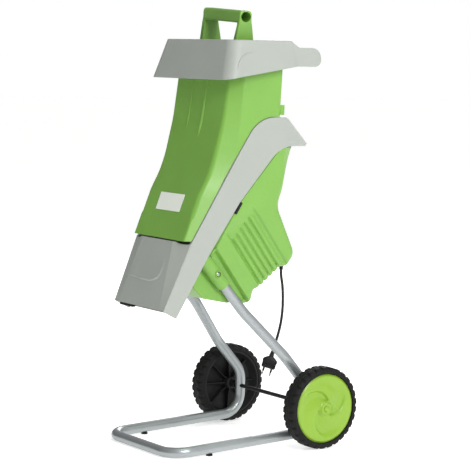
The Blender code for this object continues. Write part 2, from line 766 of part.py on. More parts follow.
# ---------------------------------------------------------------- cutting unit and motor
def disc_frame(name, parent):
    """Frame with Z along the motor shaft towards the hopper and zero on the blade disc."""
    return empty(name, (0.0, *DISC_CENTRE), parent, (DISC_TILT, 0.0, 0.0))


def make_cutter(machine):
    rotor = disc_frame("rotor_axis", machine)
    blade_x = 0.061
    plate = lathe([(BORE, -0.009), (0.016, -0.009), (0.018, -0.003), (DISC_RADIUS, -0.003),
                   (DISC_RADIUS, 0.003), (BORE, 0.003)], 40)
    disc_plate = solid("blade_disc", plate, "core_steel", rotor)
    for number, side in ((1, 1), (2, -1)):
        seat = (side * blade_x, 0.0, 0.0)
        cut(disc_plate, moved(drill(BLADE_HOLE, -0.01, 0.01, 12), seat))
        blade = loft([[(side * blade_x - 0.030, -0.012, z), (side * blade_x + 0.030, -0.012, z),
                       (side * blade_x + 0.030, edge, z), (side * blade_x - 0.030, edge, z)]
                      for z, edge in ((0.0034, 0.012), (0.0074, 0.007))])
        knife = solid(f"blade_{number}", blade, "steel", rotor)
        cut(knife, moved(drill(BLADE_HOLE, -0.01, 0.02, 12), seat))
        screw = lathe([(0.0, -0.0025), (0.0027, -0.0025), (0.0027, 0.0078), (0.006, 0.0078),
                       (0.006, 0.0095), (0.0045, 0.0106), (0.0, 0.0106)], 12)
        solid(f"blade_screw_{number}", moved(screw, seat), "steel", rotor)
    solid("disc_nut", washer(0.0064, 0.0115, 0.0034, 0.0094, 6), "steel", rotor)
    solid("motor_shaft", disc(AXLE_RADIUS, -0.142, 0.0118, 16), "steel", rotor)
    solid("cooling_fan", fan_shape(), "black_plastic", rotor)
    solid("rotor_core", washer(BORE, 0.0255, -0.094, -0.040, 24), "core_steel", rotor)
    solid("commutator", washer(BORE, 0.0140, -0.116, -0.100, 24), "copper", rotor)


def fan_shape():
    """A ring with nine swept vanes, bored for the shaft."""
    outer = []
    inner = []
    vanes = 9
    for step in range(vanes * 4):
        angle = 2.0 * math.pi * step / (vanes * 4)
        radius = 0.038 if step % 4 in (0, 1) else 0.022
        swept = angle + (0.12 if step % 4 == 0 else 0.0)
        outer.append((radius * math.cos(swept), radius * math.sin(swept)))
        inner.append((BORE * math.cos(angle), BORE * math.sin(angle)))
    rings = []
    for ring, z in ((inner, -0.034), (outer, -0.034), (outer, -0.024), (inner, -0.024)):
        rings.append([(x, y, z) for x, y in ring])
    return loop_loft(rings)


def make_motor(machine):
    axis = disc_frame("motor_frame", machine)
    plate = solid("motor_plate", box((-0.103, -0.090, -0.016), (0.103, 0.094, -0.012)),
                  "steel", axis)
    cut(plate, drill(0.0150, -0.03, 0.03, 24))
    solid("front_bearing", washer(BORE, 0.0146, -0.020, -0.012, 24), "steel", axis)
    solid("stator_core", washer(0.0270, 0.0440, -0.092, -0.042, 32), "core_steel", axis)
    for name, side in (("left", -1), ("right", 1)):
        low, high = sorted((side * 0.0146, side * 0.0300))
        solid(f"brush_{name}", box((low, -0.0035, -0.112), (high, 0.0035, -0.104)),
              "brass", axis)
    solid("rear_bearing", washer(BORE, 0.0126, -0.134, -0.126, 24), "steel", axis)
    bracket = solid("rear_bracket", box((-0.045, -0.034, -0.132), (0.045, 0.034, -0.127)),
                    "steel", axis)
    cut(bracket, drill(0.0130, -0.2, 0.0, 24))


# ---------------------------------------------------------------- knob, switch, cord
def make_knob(machine):
    knob_axis = empty("knob_axis", (0.0, *LATCH), machine, (math.radians(-45.0), 0.0, 0.0))
    lobes = 6
    rings = []
    for z, radius, depth in ((0.0076, 0.0150, 0.0), (0.0110, 0.0165, 0.0), (0.0112, 0.0240, 0.004),
                             (0.0280, 0.0230, 0.004), (0.0300, 0.0205, 0.004)):
        ring = []
        for step in range(lobes * 6):
            angle = 2.0 * math.pi * step / (lobes * 6)
            here = radius - depth * (0.5 - 0.5 * math.cos(lobes * angle))
            ring.append((here * math.cos(angle), here * math.sin(angle), z))
        rings.append(ring)
    knob = solid("locking_knob", loft(rings), "black_plastic", knob_axis)
    cut(knob, drill(BOLT_RADIUS + GAP, 0.0, 0.0205))
    solid("locking_bolt", disc(BOLT_RADIUS, -0.020, 0.0200, 16), "steel", knob_axis)


def make_switch(machine):
    """Start, stop and reset buttons in a frame on the left side of the motor housing."""
    z = 0.640
    flare = math.atan(SIDE_FLARE)
    axis = empty("switch_frame_axis", (-side_x(z, SHELL_INSET), -0.112, z), machine,
                 (0.0, -math.radians(90.0) - flare, 0.0))
    frame = solid("switch_frame", box((-0.038, -0.019, GAP), (0.030, 0.019, 0.0124)),
                  "black_plastic", axis)
    cut(frame, box((0.0025, -0.013, 0.003), (0.025, 0.013, 0.02)),
        box((-0.0225, -0.013, 0.003), (-0.001, 0.013, 0.02)),
        moved(drill(0.0050, 0.003, 0.02), (-0.0305, 0.0, 0.0)))
    solid("start_button", box((0.0030, -0.0125, 0.0065), (0.0245, 0.0125, 0.0140)),
          "button_green", axis, (0.01375, 0.0, 0.0065))
    solid("stop_button", box((-0.0220, -0.0125, 0.0065), (-0.0015, 0.0125, 0.0160)),
          "red_plastic", axis, (-0.01175, 0.0, 0.0065))
    solid("reset_button", moved(disc(0.0045, 0.0062, 0.0135, 16), (-0.0305, 0.0, 0.0)),
          "black_plastic", axis, (-0.0305, 0.0, 0.0062))


def smooth_route(points, spacing):
    """Points along a Catmull-Rom curve through the route, at most the spacing apart."""
    knots = [Vector(point) for point in points]
    knots = [2 * knots[0] - knots[1]] + knots + [2 * knots[-1] - knots[-2]]
    path = []
    for a, b, c, d in zip(knots, knots[1:], knots[2:], knots[3:]):
        steps = max(1, math.ceil((c - b).length / spacing))
        for step in range(steps):
            t = step / steps
            path.append(0.5 * (2 * b + (c - a) * t + (2 * a - 5 * b + 4 * c - d) * t ** 2
                               + (3 * b - a - 3 * c + d) * t ** 3))
    path.append(knots[-2])
    return path


def make_cord(machine):
    curve = bpy.data.curves.new("mains_cord", "CURVE")
    curve.dimensions = "3D"
    curve.bevel_depth = CORD_RADIUS
    curve.bevel_resolution = 2
    curve.use_fill_caps = True
    path = smooth_route(CORD_ROUTE, 0.012)
    spline = curve.splines.new("POLY")
    spline.points.add(len(path) - 1)
    for point, place_at in zip(spline.points, path):
        point.co = (*place_at, 1.0)
    cord = bpy.data.objects.new("mains_cord", curve)
    bpy.context.scene.collection.objects.link(cord)
    cord.parent = machine
    curve.materials.append(material("cord_black"))
    relief = lathe([(0.0, 0.0), (0.0040, 0.0), (0.0060, 0.012), (0.0060, 0.0260), (0.0, 0.0260)],
                   16)
    solid("strain_relief", moved(relief, (*CORD_EXIT, 0.4252)), "cord_black", machine)
    make_plug(machine)


def make_plug(machine):
    """Two-pin mains plug that hangs on the cord's end, pins down."""
    end = Vector(CORD_ROUTE[-1])
    along = (end - Vector(CORD_ROUTE[-2])).normalized()
    turn = Vector((0.0, 0.0, -1.0)).rotation_difference(along)
    facing = Quaternion((0.0, 0.0, 1.0), PLUG_FACING)
    axis = empty("plug_axis", end + along * GAP, machine, (turn @ facing).to_euler())

    def level(z, half_x, half_y):
        ring = []
        for step in range(16):
            angle = 2.0 * math.pi * step / 16
            c, s = math.cos(angle), math.sin(angle)
            ring.append((half_x * math.copysign(abs(c) ** 0.6, c),
                         half_y * math.copysign(abs(s) ** 0.6, s), z))
        return ring

    body = loft([level(0.0, 0.0045, 0.0045), level(-0.014, 0.0065, 0.0060),
                 level(-0.018, 0.0120, 0.0075), level(-0.024, 0.0185, 0.0085),
                 level(-0.030, 0.0175, 0.0085), level(-0.044, 0.0165, 0.0080)])
    plug = solid("plug_body", body, "cord_black", axis)
    for name, side in (("left", -1), ("right", 1)):
        x = side * PIN_SPACING / 2.0
        cut(plug, moved(drill(PIN_RADIUS + GAP, -0.05, -0.036, 12), (x, 0.0, 0.0)))
        solid(f"plug_pin_{name}", moved(disc(PIN_RADIUS, -0.062, -0.0365, 12), (x, 0.0, 0.0)),
              "steel", axis)


def make_label(hopper):
    """A plain blank plate on the hopper's front wall."""
    wall_low = Vector((0.0, -0.3475, SEAM_TOP))
    wall_high = Vector((0.0, -0.3030, 0.622))
    up = (wall_high - wall_low).normalized()
    out = Vector((0.0, -up.z, up.y))
    rings = []
    for lift in (GAP, 0.0012):
        ring = []
        for x, share in ((-0.052, 0.56), (0.052, 0.56), (0.052, 0.92), (-0.052, 0.92)):
            point = wall_low.lerp(wall_high, share) + out * lift
            ring.append((x, point.y, point.z))
        rings.append(ring)
    solid("label_plate", loft(rings), "label_white", hopper)


def build():
    clear_scene()
    machine = empty("machine", (0.0, AXLE_Y, 0.0))
    make_frame(machine)
    for side in (-1, 1):
        make_wheel(machine, side)
        make_leg_screw(machine, side)
    make_housing(machine)
    make_bands(machine)
    make_bridge(machine)
    make_chute(machine)
    add_cover_knuckle(bpy.data.objects["chute_cover"])
    pin = place(disc(HINGE_PIN_RADIUS, -0.088, 0.088, 12), (0.0, *HINGE), (1, 0, 0))
    solid("hinge_pin", pin, "steel", machine)
    hopper = make_hopper(machine)
    make_label(hopper)
    make_cutter(machine)
    make_motor(machine)
    make_knob(machine)
    make_switch(machine)
    make_cord(machine)


build()
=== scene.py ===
"""Looks of the garden shredder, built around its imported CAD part.

Metres, +Z up, discharge side towards -Y. Shapes are written in the machine frame, whose
Y zero is the wheel axle, as the CAD's own shapes are, and each piece is moved by AXLE_Y.
"""
import json
import math

import bmesh
import bpy
import numpy as np
from mathutils import Matrix, Quaternion, Vector


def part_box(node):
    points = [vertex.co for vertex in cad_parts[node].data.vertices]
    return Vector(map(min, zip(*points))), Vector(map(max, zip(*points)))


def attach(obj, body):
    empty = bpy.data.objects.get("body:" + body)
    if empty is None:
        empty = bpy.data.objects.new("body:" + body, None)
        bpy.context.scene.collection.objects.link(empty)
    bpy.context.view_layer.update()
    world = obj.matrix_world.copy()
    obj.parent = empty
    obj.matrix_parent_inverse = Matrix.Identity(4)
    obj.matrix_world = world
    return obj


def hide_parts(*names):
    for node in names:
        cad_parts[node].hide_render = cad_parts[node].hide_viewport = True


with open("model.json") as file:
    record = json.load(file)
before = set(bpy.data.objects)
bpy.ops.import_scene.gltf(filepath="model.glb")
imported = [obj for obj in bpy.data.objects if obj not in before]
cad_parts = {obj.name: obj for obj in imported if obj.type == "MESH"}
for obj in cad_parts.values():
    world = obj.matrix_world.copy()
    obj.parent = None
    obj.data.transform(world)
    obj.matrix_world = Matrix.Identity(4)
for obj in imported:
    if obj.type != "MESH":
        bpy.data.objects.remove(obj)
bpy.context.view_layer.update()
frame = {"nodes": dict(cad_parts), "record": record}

# ---------------- driving dimensions
AXLE_LOW, AXLE_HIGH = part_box("axle")
AXLE_Y = (AXLE_LOW.y + AXLE_HIGH.y) / 2.0
WHEEL_RADIUS = (AXLE_LOW.z + AXLE_HIGH.z) / 2.0
AXLE_RADIUS = (AXLE_HIGH.z - AXLE_LOW.z) / 2.0
WHEEL_X = sum(corner.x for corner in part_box("tyre_right")) / 2.0
TUBE_RADIUS = 0.0125
RUNNER_X = 0.145
LEG_TOP_X = 0.103
FRONT_BAR_Y = -0.3885
LEG_LEAN = 0.883
LEG_FOOT = (-0.022, 0.166)
LEG_TOP_Z = 0.446
LEG_SCREW_Z = 0.428
SIDE_X = 0.111
SIDE_Z = 0.35
SIDE_FLARE = 0.06
SHELL_INSET = 0.003
WALL = 0.003
HINGE = (-0.3382, 0.510)
FRONT_SWING = 0.0098   # radius round the hinge that the tipping hopper's wall needs clear
LATCH = (-0.044, 0.7685)
SEAM_TOP = 0.5085
SEAM_BOTTOM = 0.505
HOOD_TOP = 0.981
FUNNEL_TOP = 0.930
ARM_CENTRE = (-0.0187, 0.9435)
ARM_RADIUS = 0.0225
ARM_INNER_X = 0.1415
TAMPER_Y = -0.1635
TAMPER_TURN = math.radians(-7.0)
TAMPER_LEAN = math.radians(3.0)
TAMPER_LINES = (0.0985, 0.1195)   # heights of the shallow lines on the handle's bar
CHUTE_BOTTOM = 0.3465
CHUTE_UPPER = 0.490   # height of the upper of the chute cover's two given cross-sections
CATCH_Z = 0.584
SLEEVE_FOOT_Z = 0.397
KNUCKLE_RADIUS = 0.004
COVER_KNUCKLE_X = 0.030
SIDES = (("left", -1), ("right", 1))
WHITE = (1.0, 1.0, 1.0, 1.0)
FLOOR_GLOW = 0.56
SKY_LEVEL = 0.345
SKY_LEAN = (0.24, 0.16, 0.26)   # how the sky brightens towards +X, +Y and +Z
CORD_RADIUS = 0.0033
CORD_ROUTE = [
    (0.0780, -0.0390, 0.4248), (0.0779, -0.0383, 0.4100), (0.0770, -0.0330, 0.3850),
    (0.0758, -0.0300, 0.3600), (0.0748, -0.0290, 0.3350), (0.0738, -0.0300, 0.3100),
    (0.0724, -0.0332, 0.2850), (0.0708, -0.0385, 0.2620), (0.0694, -0.0450, 0.2400),
    (0.0684, -0.0502, 0.2230),
]
BAND_FRONT = [(-0.398, 0.346), (-0.329, 0.507), (-0.207, 0.717), (-0.156, 0.7995, 0.080)]
BEAK = [(-0.075, 0.7995, 0.014), (-0.0115, 0.736, 0.003), (-0.016, 0.730, 0.002)]
BAND_REAR = [(-0.088, 0.730, 0.080), (-0.198, 0.598), (-0.2765, 0.477), (-0.362, 0.327)]


def side_x(z, inset=0.0):
    """Half width of the machine's flared sides at a height."""
    return SIDE_X + SIDE_FLARE * (z - SIDE_Z) - inset


def leg_y(z):
    """Where the leaning legs' centre line is at a height."""
    return LEG_FOOT[0] - LEG_LEAN * (z - LEG_FOOT[1])


# ---------------- materials
def nodes_of(name):
    """A new material's node tree, its shader and a function that adds a node."""
    made = bpy.data.materials.new("look_" + name)
    made.use_nodes = True
    tree = made.node_tree

    def add(kind, **values):
        node = tree.nodes.new("ShaderNode" + kind)
        for key, value in values.items():
            if hasattr(node, key):
                setattr(node, key, value)
            else:
                node.inputs[key.replace("_", " ").title()].default_value = value
        return node

    return made, tree.links.new, tree.nodes["Principled BSDF"], add


def spread(add, link, source, low, high, start=0.3, end=0.7):
    """Turn values from start to end, by default a noise's middle, into low to high."""
    node = add("MapRange")
    for name, value in (("From Min", start), ("From Max", end), ("To Min", low), ("To Max", high)):
        node.inputs[name].default_value = value
    link(source, node.inputs["Value"])
    return node.outputs["Result"]


def finish_of(name, colour, roughness, metallic=0.0, mottle=0.05, grain=900.0, depth=0.00004,
              streak=(1.0, 1.0, 1.0), dust=0.0, shine=0.5, coat=0.0):
    """A moulded, painted or rubber surface: mottled colour, fine grain, uneven gloss, dust."""
    made, link, shader, add = nodes_of(name)
    coords = add("TexCoord").outputs["Object"]
    stretch = add("Mapping")
    stretch.inputs["Scale"].default_value = streak
    link(coords, stretch.inputs["Vector"])
    cloud = add("TexNoise", scale=11.0, detail=4.0)
    link(coords, cloud.inputs["Vector"])
    fine = add("TexNoise", scale=grain, detail=2.0)
    link(stretch.outputs["Vector"], fine.inputs["Vector"])
    speck = add("TexNoise", scale=grain * 0.23, detail=3.0)
    link(stretch.outputs["Vector"], speck.inputs["Vector"])
    value = add("HueSaturation")
    value.inputs["Color"].default_value = (*colour, 1.0)
    link(spread(add, link, cloud.outputs["Fac"], 1.0 - mottle, 1.0 + mottle),
         value.inputs["Value"])
    tone = add("HueSaturation")
    link(value.outputs["Color"], tone.inputs["Color"])
    link(spread(add, link, speck.outputs["Fac"], 1.0 - mottle * 0.7, 1.0 + mottle * 0.7),
         tone.inputs["Value"])
    colour_out = tone.outputs["Color"]
    if dust:
        height = add("SeparateXYZ")
        link(coords, height.inputs["Vector"])
        amount = add("Math", operation="MULTIPLY")
        link(spread(add, link, height.outputs["Z"], dust * 0.35, dust, 0.35, 0.0),
             amount.inputs[0])
        link(spread(add, link, speck.outputs["Fac"], 0.0, 1.0), amount.inputs[1])
        mix = add("Mix", data_type="RGBA")
        mix.inputs["B"].default_value = (0.30, 0.28, 0.25, 1.0)
        link(amount.outputs["Value"], mix.inputs["Factor"])
        link(colour_out, mix.inputs["A"])
        colour_out = mix.outputs["Result"]
    link(colour_out, shader.inputs["Base Color"])
    link(spread(add, link, cloud.outputs["Fac"], roughness - 0.04, roughness + 0.05),
         shader.inputs["Roughness"])
    for socket, level in (("Metallic", metallic), ("Specular IOR Level", shine),
                          ("Coat Weight", coat), ("Coat Roughness", 0.18)):
        shader.inputs[socket].default_value = level
    bump = add("Bump", strength=0.6)
    bump.inputs["Distance"].default_value = depth
    link(fine.outputs["Fac"], bump.inputs["Height"])
    link(bump.outputs["Normal"], shader.inputs["Normal"])
    return made


def brushed(name, colour, roughness, axis):
    """Bare metal with fine brush lines along one axis."""
    lines = [700.0, 700.0, 700.0]
    lines[axis] = 12.0
    return finish_of(name, colour, roughness, metallic=1.0, mottle=0.06, grain=1.0,
                     depth=0.00002, streak=lines)


GREEN = finish_of("green_plastic", (0.178, 0.385, 0.060), 0.38, mottle=0.035, grain=1500.0,
                  depth=0.00002, coat=0.10)
GREY = finish_of("grey_plastic", (0.350, 0.375, 0.342), 0.50, mottle=0.02, grain=1300.0,
                 depth=0.00005)
WHEEL_GREEN = finish_of("wheel_green", (0.225, 0.405, 0.018), 0.35, mottle=0.03,
                        grain=1300.0, depth=0.00002, dust=0.04, coat=0.15)
BLACK = finish_of("black_plastic", (0.012, 0.012, 0.013), 0.48, mottle=0.12, grain=1200.0,
                  depth=0.00006, dust=0.008, shine=0.22)
RUBBER = finish_of("rubber", (0.007, 0.007, 0.007), 0.66, mottle=0.15, depth=0.00012,
                   dust=0.012, shine=0.20)
CORD = finish_of("cord_black", (0.008, 0.008, 0.008), 0.48, mottle=0.10, grain=1600.0,
                 depth=0.00003, shine=0.35)
TUBE = finish_of("painted_tube", (0.370, 0.395, 0.405), 0.34, metallic=0.72, mottle=0.035,
                 grain=1000.0, dust=0.03, coat=0.12)
STEEL = brushed("steel", (0.62, 0.62, 0.61), 0.30, 0)
CORE_STEEL = brushed("core_steel", (0.33, 0.33, 0.34), 0.42, 2)
COPPER = brushed("copper", (0.78, 0.36, 0.20), 0.33, 2)
BRASS = brushed("brass", (0.76, 0.60, 0.30), 0.30, 0)
LABEL = finish_of("label_white", (0.82, 0.86, 0.78), 0.38, mottle=0.02, grain=800.0,
                  depth=0.00001)
RED = finish_of("red_plastic", (0.55, 0.025, 0.02), 0.36, mottle=0.04, grain=1300.0,
                depth=0.00002)
BUTTON_GREEN = finish_of("button_green", (0.03, 0.33, 0.06), 0.36, mottle=0.04, grain=1300.0,
                         depth=0.00002)
LOOKS = {look.name.removeprefix("look_"): look for look in (
    GREEN, GREY, WHEEL_GREEN, BLACK, RUBBER, CORD, TUBE, STEEL, CORE_STEEL, COPPER, BRASS,
    LABEL, RED, BUTTON_GREEN)}
SLOTS = {part["node"]: part["material_slot"] for part in frame["record"]["subparts"]}


# ---------------- shape makers
def turns(count):
    """Evenly spaced angles round a full turn."""
    return [2.0 * math.pi * step / count for step in range(count)]


def rounded(corners, steps=8):
    """Turn (a, b) or (a, b, radius) corners into an outline with arcs at the radii."""
    outline = []
    count = len(corners)
    for index, corner in enumerate(corners):
        here = Vector(corner[:2])
        radius = corner[2] if len(corner) > 2 else 0.0
        if radius == 0.0:
            outline.append(tuple(here))
            continue
        before = (Vector(corners[index - 1][:2]) - here).normalized()
        after = (Vector(corners[(index + 1) % count][:2]) - here).normalized()
        half = before.angle(after) / 2.0
        centre = here + (before + after).normalized() * (radius / math.sin(half))
        start = here + before * (radius / math.tan(half)) - centre
        turn = start.angle_signed(here + after * (radius / math.tan(half)) - centre)
        for step in range(steps + 1):
            angle = -turn * step / steps
            swung = Vector((start.x * math.cos(angle) - start.y * math.sin(angle),
                            start.x * math.sin(angle) + start.y * math.cos(angle)))
            outline.append(tuple(centre + swung))
    return outline


def loft(rings, closed_ends=True, ring_closed=True):
    """Join rings with equal point counts by quads, with flat ends if wanted."""
    size = len(rings[0])
    vertices = [tuple(point) for ring in rings for point in ring]
    faces = []
    for level in range(len(rings) - 1):
        low = level * size
        for i in range(size if ring_closed else size - 1):
            j = (i + 1) % size
            faces.append((low + i, low + j, low + size + j, low + size + i))
    if closed_ends:
        faces.append(tuple(range(size)))
        faces.append(tuple(range(len(vertices) - size, len(vertices))))
    return vertices, faces


def loop_loft(rings):
    """Join rings into one closed tunnel-shaped body whose last ring meets its first."""
    vertices, faces = loft(rings, closed_ends=False)
    size = len(rings[0])
    last = (len(rings) - 1) * size
    for i in range(size):
        j = (i + 1) % size
        faces.append((last + i, last + j, j, i))
    return vertices, faces


def prism(outline, low, high):
    """Extrude a (y, z) outline along X between two widths, each a number or f(z)."""
    def at(width, z):
        return width(z) if callable(width) else width
    return loft([[(at(low, z), y, z) for y, z in outline],
                 [(at(high, z), y, z) for y, z in outline]])


def box(low, high):
    (x0, y0, z0), (x1, y1, z1) = low, high
    ring = [(x0, y0), (x1, y0), (x1, y1), (x0, y1)]
    return loft([[(x, y, z0) for x, y in ring], [(x, y, z1) for x, y in ring]])


def lathe(profile, segments=64, radius_at=None):
    """Turn a closed (radius, height) profile about Z; points on the axis become poles."""
    vertices = []
    faces = []
    rows = []
    for index, (radius, height) in enumerate(profile):
        if radius == 0.0:
            rows.append([len(vertices)] * segments)
            vertices.append((0.0, 0.0, height))
            continue
        row = []
        for angle in turns(segments):
            here = radius_at(index, angle, radius) if radius_at else radius
            row.append(len(vertices))
            vertices.append((here * math.cos(angle), here * math.sin(angle), height))
        rows.append(row)
    for index, row in enumerate(rows):
        following = rows[(index + 1) % len(rows)]
        if row[0] == row[1] and following[0] == following[1]:
            continue
        for i in range(segments):
            j = (i + 1) % segments
            corners = [row[i], row[j], following[j], following[i]]
            faces.append(tuple(dict.fromkeys(corners)))
    return vertices, faces


def disc(radius, low, high, segments=48):
    return lathe([(0.0, low), (radius, low), (radius, high), (0.0, high)], segments)


def washer(inner, outer, low, high, segments=48):
    return lathe([(inner, low), (outer, low), (outer, high), (inner, high)], segments)


def place(shape, base, direction):
    """Move a shape made about Z so that its zero is at base and its Z along direction."""
    turn = Vector((0.0, 0.0, 1.0)).rotation_difference(Vector(direction).normalized())
    vertices, faces = shape
    return [tuple(turn @ Vector(v) + Vector(base)) for v in vertices], faces


def moved(shape, offset):
    vertices, faces = shape
    return [tuple(Vector(v) + Vector(offset)) for v in vertices], faces


def merged(*shapes):
    vertices = []
    faces = []
    for more_vertices, more_faces in shapes:
        start = len(vertices)
        vertices.extend(more_vertices)
        faces.extend(tuple(start + i for i in face) for face in more_faces)
    return vertices, faces


def bent_path(corners, radii, steps=12):
    """A tube's centreline: straight runs between corners, with an arc at each bend."""
    path = [Vector(corners[0])]
    for before, corner, after, radius in zip(corners, corners[1:], corners[2:], radii):
        here = Vector(corner)
        back = (Vector(before) - here).normalized()
        ahead = (Vector(after) - here).normalized()
        half = back.angle(ahead) / 2.0
        centre = here + (back + ahead).normalized() * (radius / math.sin(half))
        start = here + back * (radius / math.tan(half)) - centre
        end = here + ahead * (radius / math.tan(half)) - centre
        sweep = start.angle(end)
        for step in range(steps + 1):
            part = step / steps
            blend = math.sin((1 - part) * sweep) * start + math.sin(part * sweep) * end
            path.append(centre + blend / math.sin(sweep))
    path.append(Vector(corners[-1]))
    return path


def tube(path, radii, sides=32):
    """A round bar along a path, with one radius or one for each of the path's points."""
    rings = []
    across = Vector((0.0, 0.0, 1.0))
    for index, point in enumerate(path):
        ahead = path[min(index + 1, len(path) - 1)] - point
        back = point - path[max(index - 1, 0)]
        along = (ahead.normalized() + back.normalized()).normalized()
        if abs(across.dot(along)) > 0.95:
            across = Vector((0.0, 1.0, 0.0))
        across = (across - along * across.dot(along)).normalized()
        other = along.cross(across)
        radius = radii[index] if isinstance(radii, list) else radii
        rings.append([point + (across * math.cos(angle) + other * math.sin(angle)) * radius
                      for angle in turns(sides)])
    return loft(rings)


def smooth_route(points, spacing):
    """Points along a Catmull-Rom curve through the route, at most the spacing apart."""
    knots = [Vector(point) for point in points]
    knots = [2 * knots[0] - knots[1]] + knots + [2 * knots[-1] - knots[-2]]
    path = []
    for a, b, c, d in zip(knots, knots[1:], knots[2:], knots[3:]):
        steps = max(1, math.ceil((c - b).length / spacing))
        for step in range(steps):
            t = step / steps
            path.append(0.5 * (2 * b + (c - a) * t + (2 * a - 5 * b + 4 * c - d) * t ** 2
                               + (3 * b - a - 3 * c + d) * t ** 3))
    path.append(knots[-2])
    return path


def eased(value, low, high):
    """0 below low, 1 above high and a smooth rise between, for numbers or arrays."""
    t = np.clip((value - low) / (high - low), 0.0, 1.0)
    return t * t * (3.0 - 2.0 * t)


# ---------------- pieces
def new_object(name, data):
    """A new object in the scene that holds the data."""
    made = bpy.data.objects.new(name, data)
    bpy.context.scene.collection.objects.link(made)
    return made


def mesh_object(name, shape, look):
    vertices, faces = shape
    mesh = bpy.data.meshes.new(name)
    mesh.from_pydata([tuple(v) for v in vertices], [], faces)
    work = bmesh.new()
    work.from_mesh(mesh)
    bmesh.ops.recalc_face_normals(work, faces=work.faces)
    work.to_mesh(mesh)
    work.free()
    mesh.materials.append(look)
    return new_object(name, mesh)


def boolean(target, shape, operation):
    """Cut or join the target with a shape given in the target's own coordinates."""
    tool = mesh_object("tool", shape, target.data.materials[0])
    tool.matrix_world = target.matrix_world
    step = target.modifiers.new(operation, "BOOLEAN")
    step.operation = operation
    step.solver = "EXACT"
    step.object = tool
    bpy.context.view_layer.update()
    state = bpy.context.evaluated_depsgraph_get()
    result = bpy.data.meshes.new_from_object(target.evaluated_get(state))
    target.modifiers.clear()
    look = target.data.materials[0]
    target.data = result
    result.materials.clear()
    result.materials.append(look)
    bpy.data.objects.remove(tool, do_unlink=True)


def cut(target, *shapes):
    for shape in shapes:
        boolean(target, shape, "DIFFERENCE")


def join(target, *shapes):
    for shape in shapes:
        boolean(target, shape, "UNION")


def round_edges(made, width, segments=3, angle=32.0):
    """Weighted smooth shading: creases stay sharp without a width, and are rounded with one."""
    made.data.shade_smooth()
    made.data.set_sharp_from_angle(angle=math.radians(50.0))
    if width:
        step = made.modifiers.new("edges", "BEVEL")
        step.width = width
        step.segments = segments
        step.limit_method = "ANGLE"
        step.angle_limit = math.radians(angle)
        step.use_clamp_overlap = True
    step = made.modifiers.new("normals", "WEIGHTED_NORMAL")
    step.keep_sharp = not width


def settle(made, body, *nodes, slot=None):
    """Put a finished piece on its body and let it stand for its CAD nodes."""
    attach(made, body)
    if nodes:
        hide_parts(*nodes)
    return made


def machine_piece(name, shape, look):
    """A mesh object whose shape is written in the machine frame."""
    made = mesh_object(name, shape, look)
    made.location = (0.0, AXLE_Y, 0.0)
    bpy.context.view_layer.update()
    return made


def bead(name, shape, look, body, node):
    """A raised line on a wall, all smooth."""
    made = machine_piece(name, shape, look)
    made.data.shade_smooth()
    settle(made, body, node)


def finished(name, shape, look, body, node, width=0.0, segments=3, slot=None):
    """A machine piece that needs no cuts, settled on its body; a width rounds its edges."""
    made = machine_piece(name, shape, look)
    round_edges(made, width, segments)
    return settle(made, body, node, slot=slot)


def refined(node, body, width, segments=3):
    """The CAD node's own shape with its flat faces whole and its edges rounded."""
    mesh = frame["nodes"][node].data.copy()
    mesh.name = node + "_fine"
    work = bmesh.new()
    work.from_mesh(mesh)
    bmesh.ops.remove_doubles(work, verts=work.verts, dist=0.000002)
    bmesh.ops.dissolve_limit(work, angle_limit=math.radians(0.6), verts=work.verts,
                             edges=work.edges, delimit={"NORMAL"})
    bmesh.ops.recalc_face_normals(work, faces=work.faces)
    for face in work.faces:
        face.smooth = True
    work.to_mesh(mesh)
    work.free()
    for layer in list(mesh.attributes):
        if layer.name in ("custom_normal", "sharp_edge", "sharp_face"):
            mesh.attributes.remove(layer)
    mesh.materials.clear()
    mesh.materials.append(LOOKS[SLOTS[node]])
    made = new_object(node + "_fine", mesh)
    round_edges(made, width, segments, 30.0)
    return settle(made, body, node)


# ---------------- camera and cord
def make_camera():
    """From the front right and a little above, with a long lens and a slight roll."""
    heading = 0.9636
    pitch = 0.0961
    roll = 0.0229
    ahead = Vector((-math.sin(heading) * math.cos(pitch),
                    math.cos(heading) * math.cos(pitch), -math.sin(pitch)))
    right = Vector((math.cos(heading), math.sin(heading), 0.0))
    up = right.cross(ahead)
    side = right * math.cos(roll) + up * math.sin(roll)
    top = up * math.cos(roll) - right * math.sin(roll)
    camera = bpy.data.cameras.new("camera")
    camera.lens = 142.95
    camera.sensor_width = 36.0
    made = new_object("camera", camera)
    made.matrix_world = Matrix((side, top, -ahead)).transposed().to_4x4()
    made.location = (3.743, AXLE_Y - 2.725, 0.945)
    bpy.context.scene.camera = made


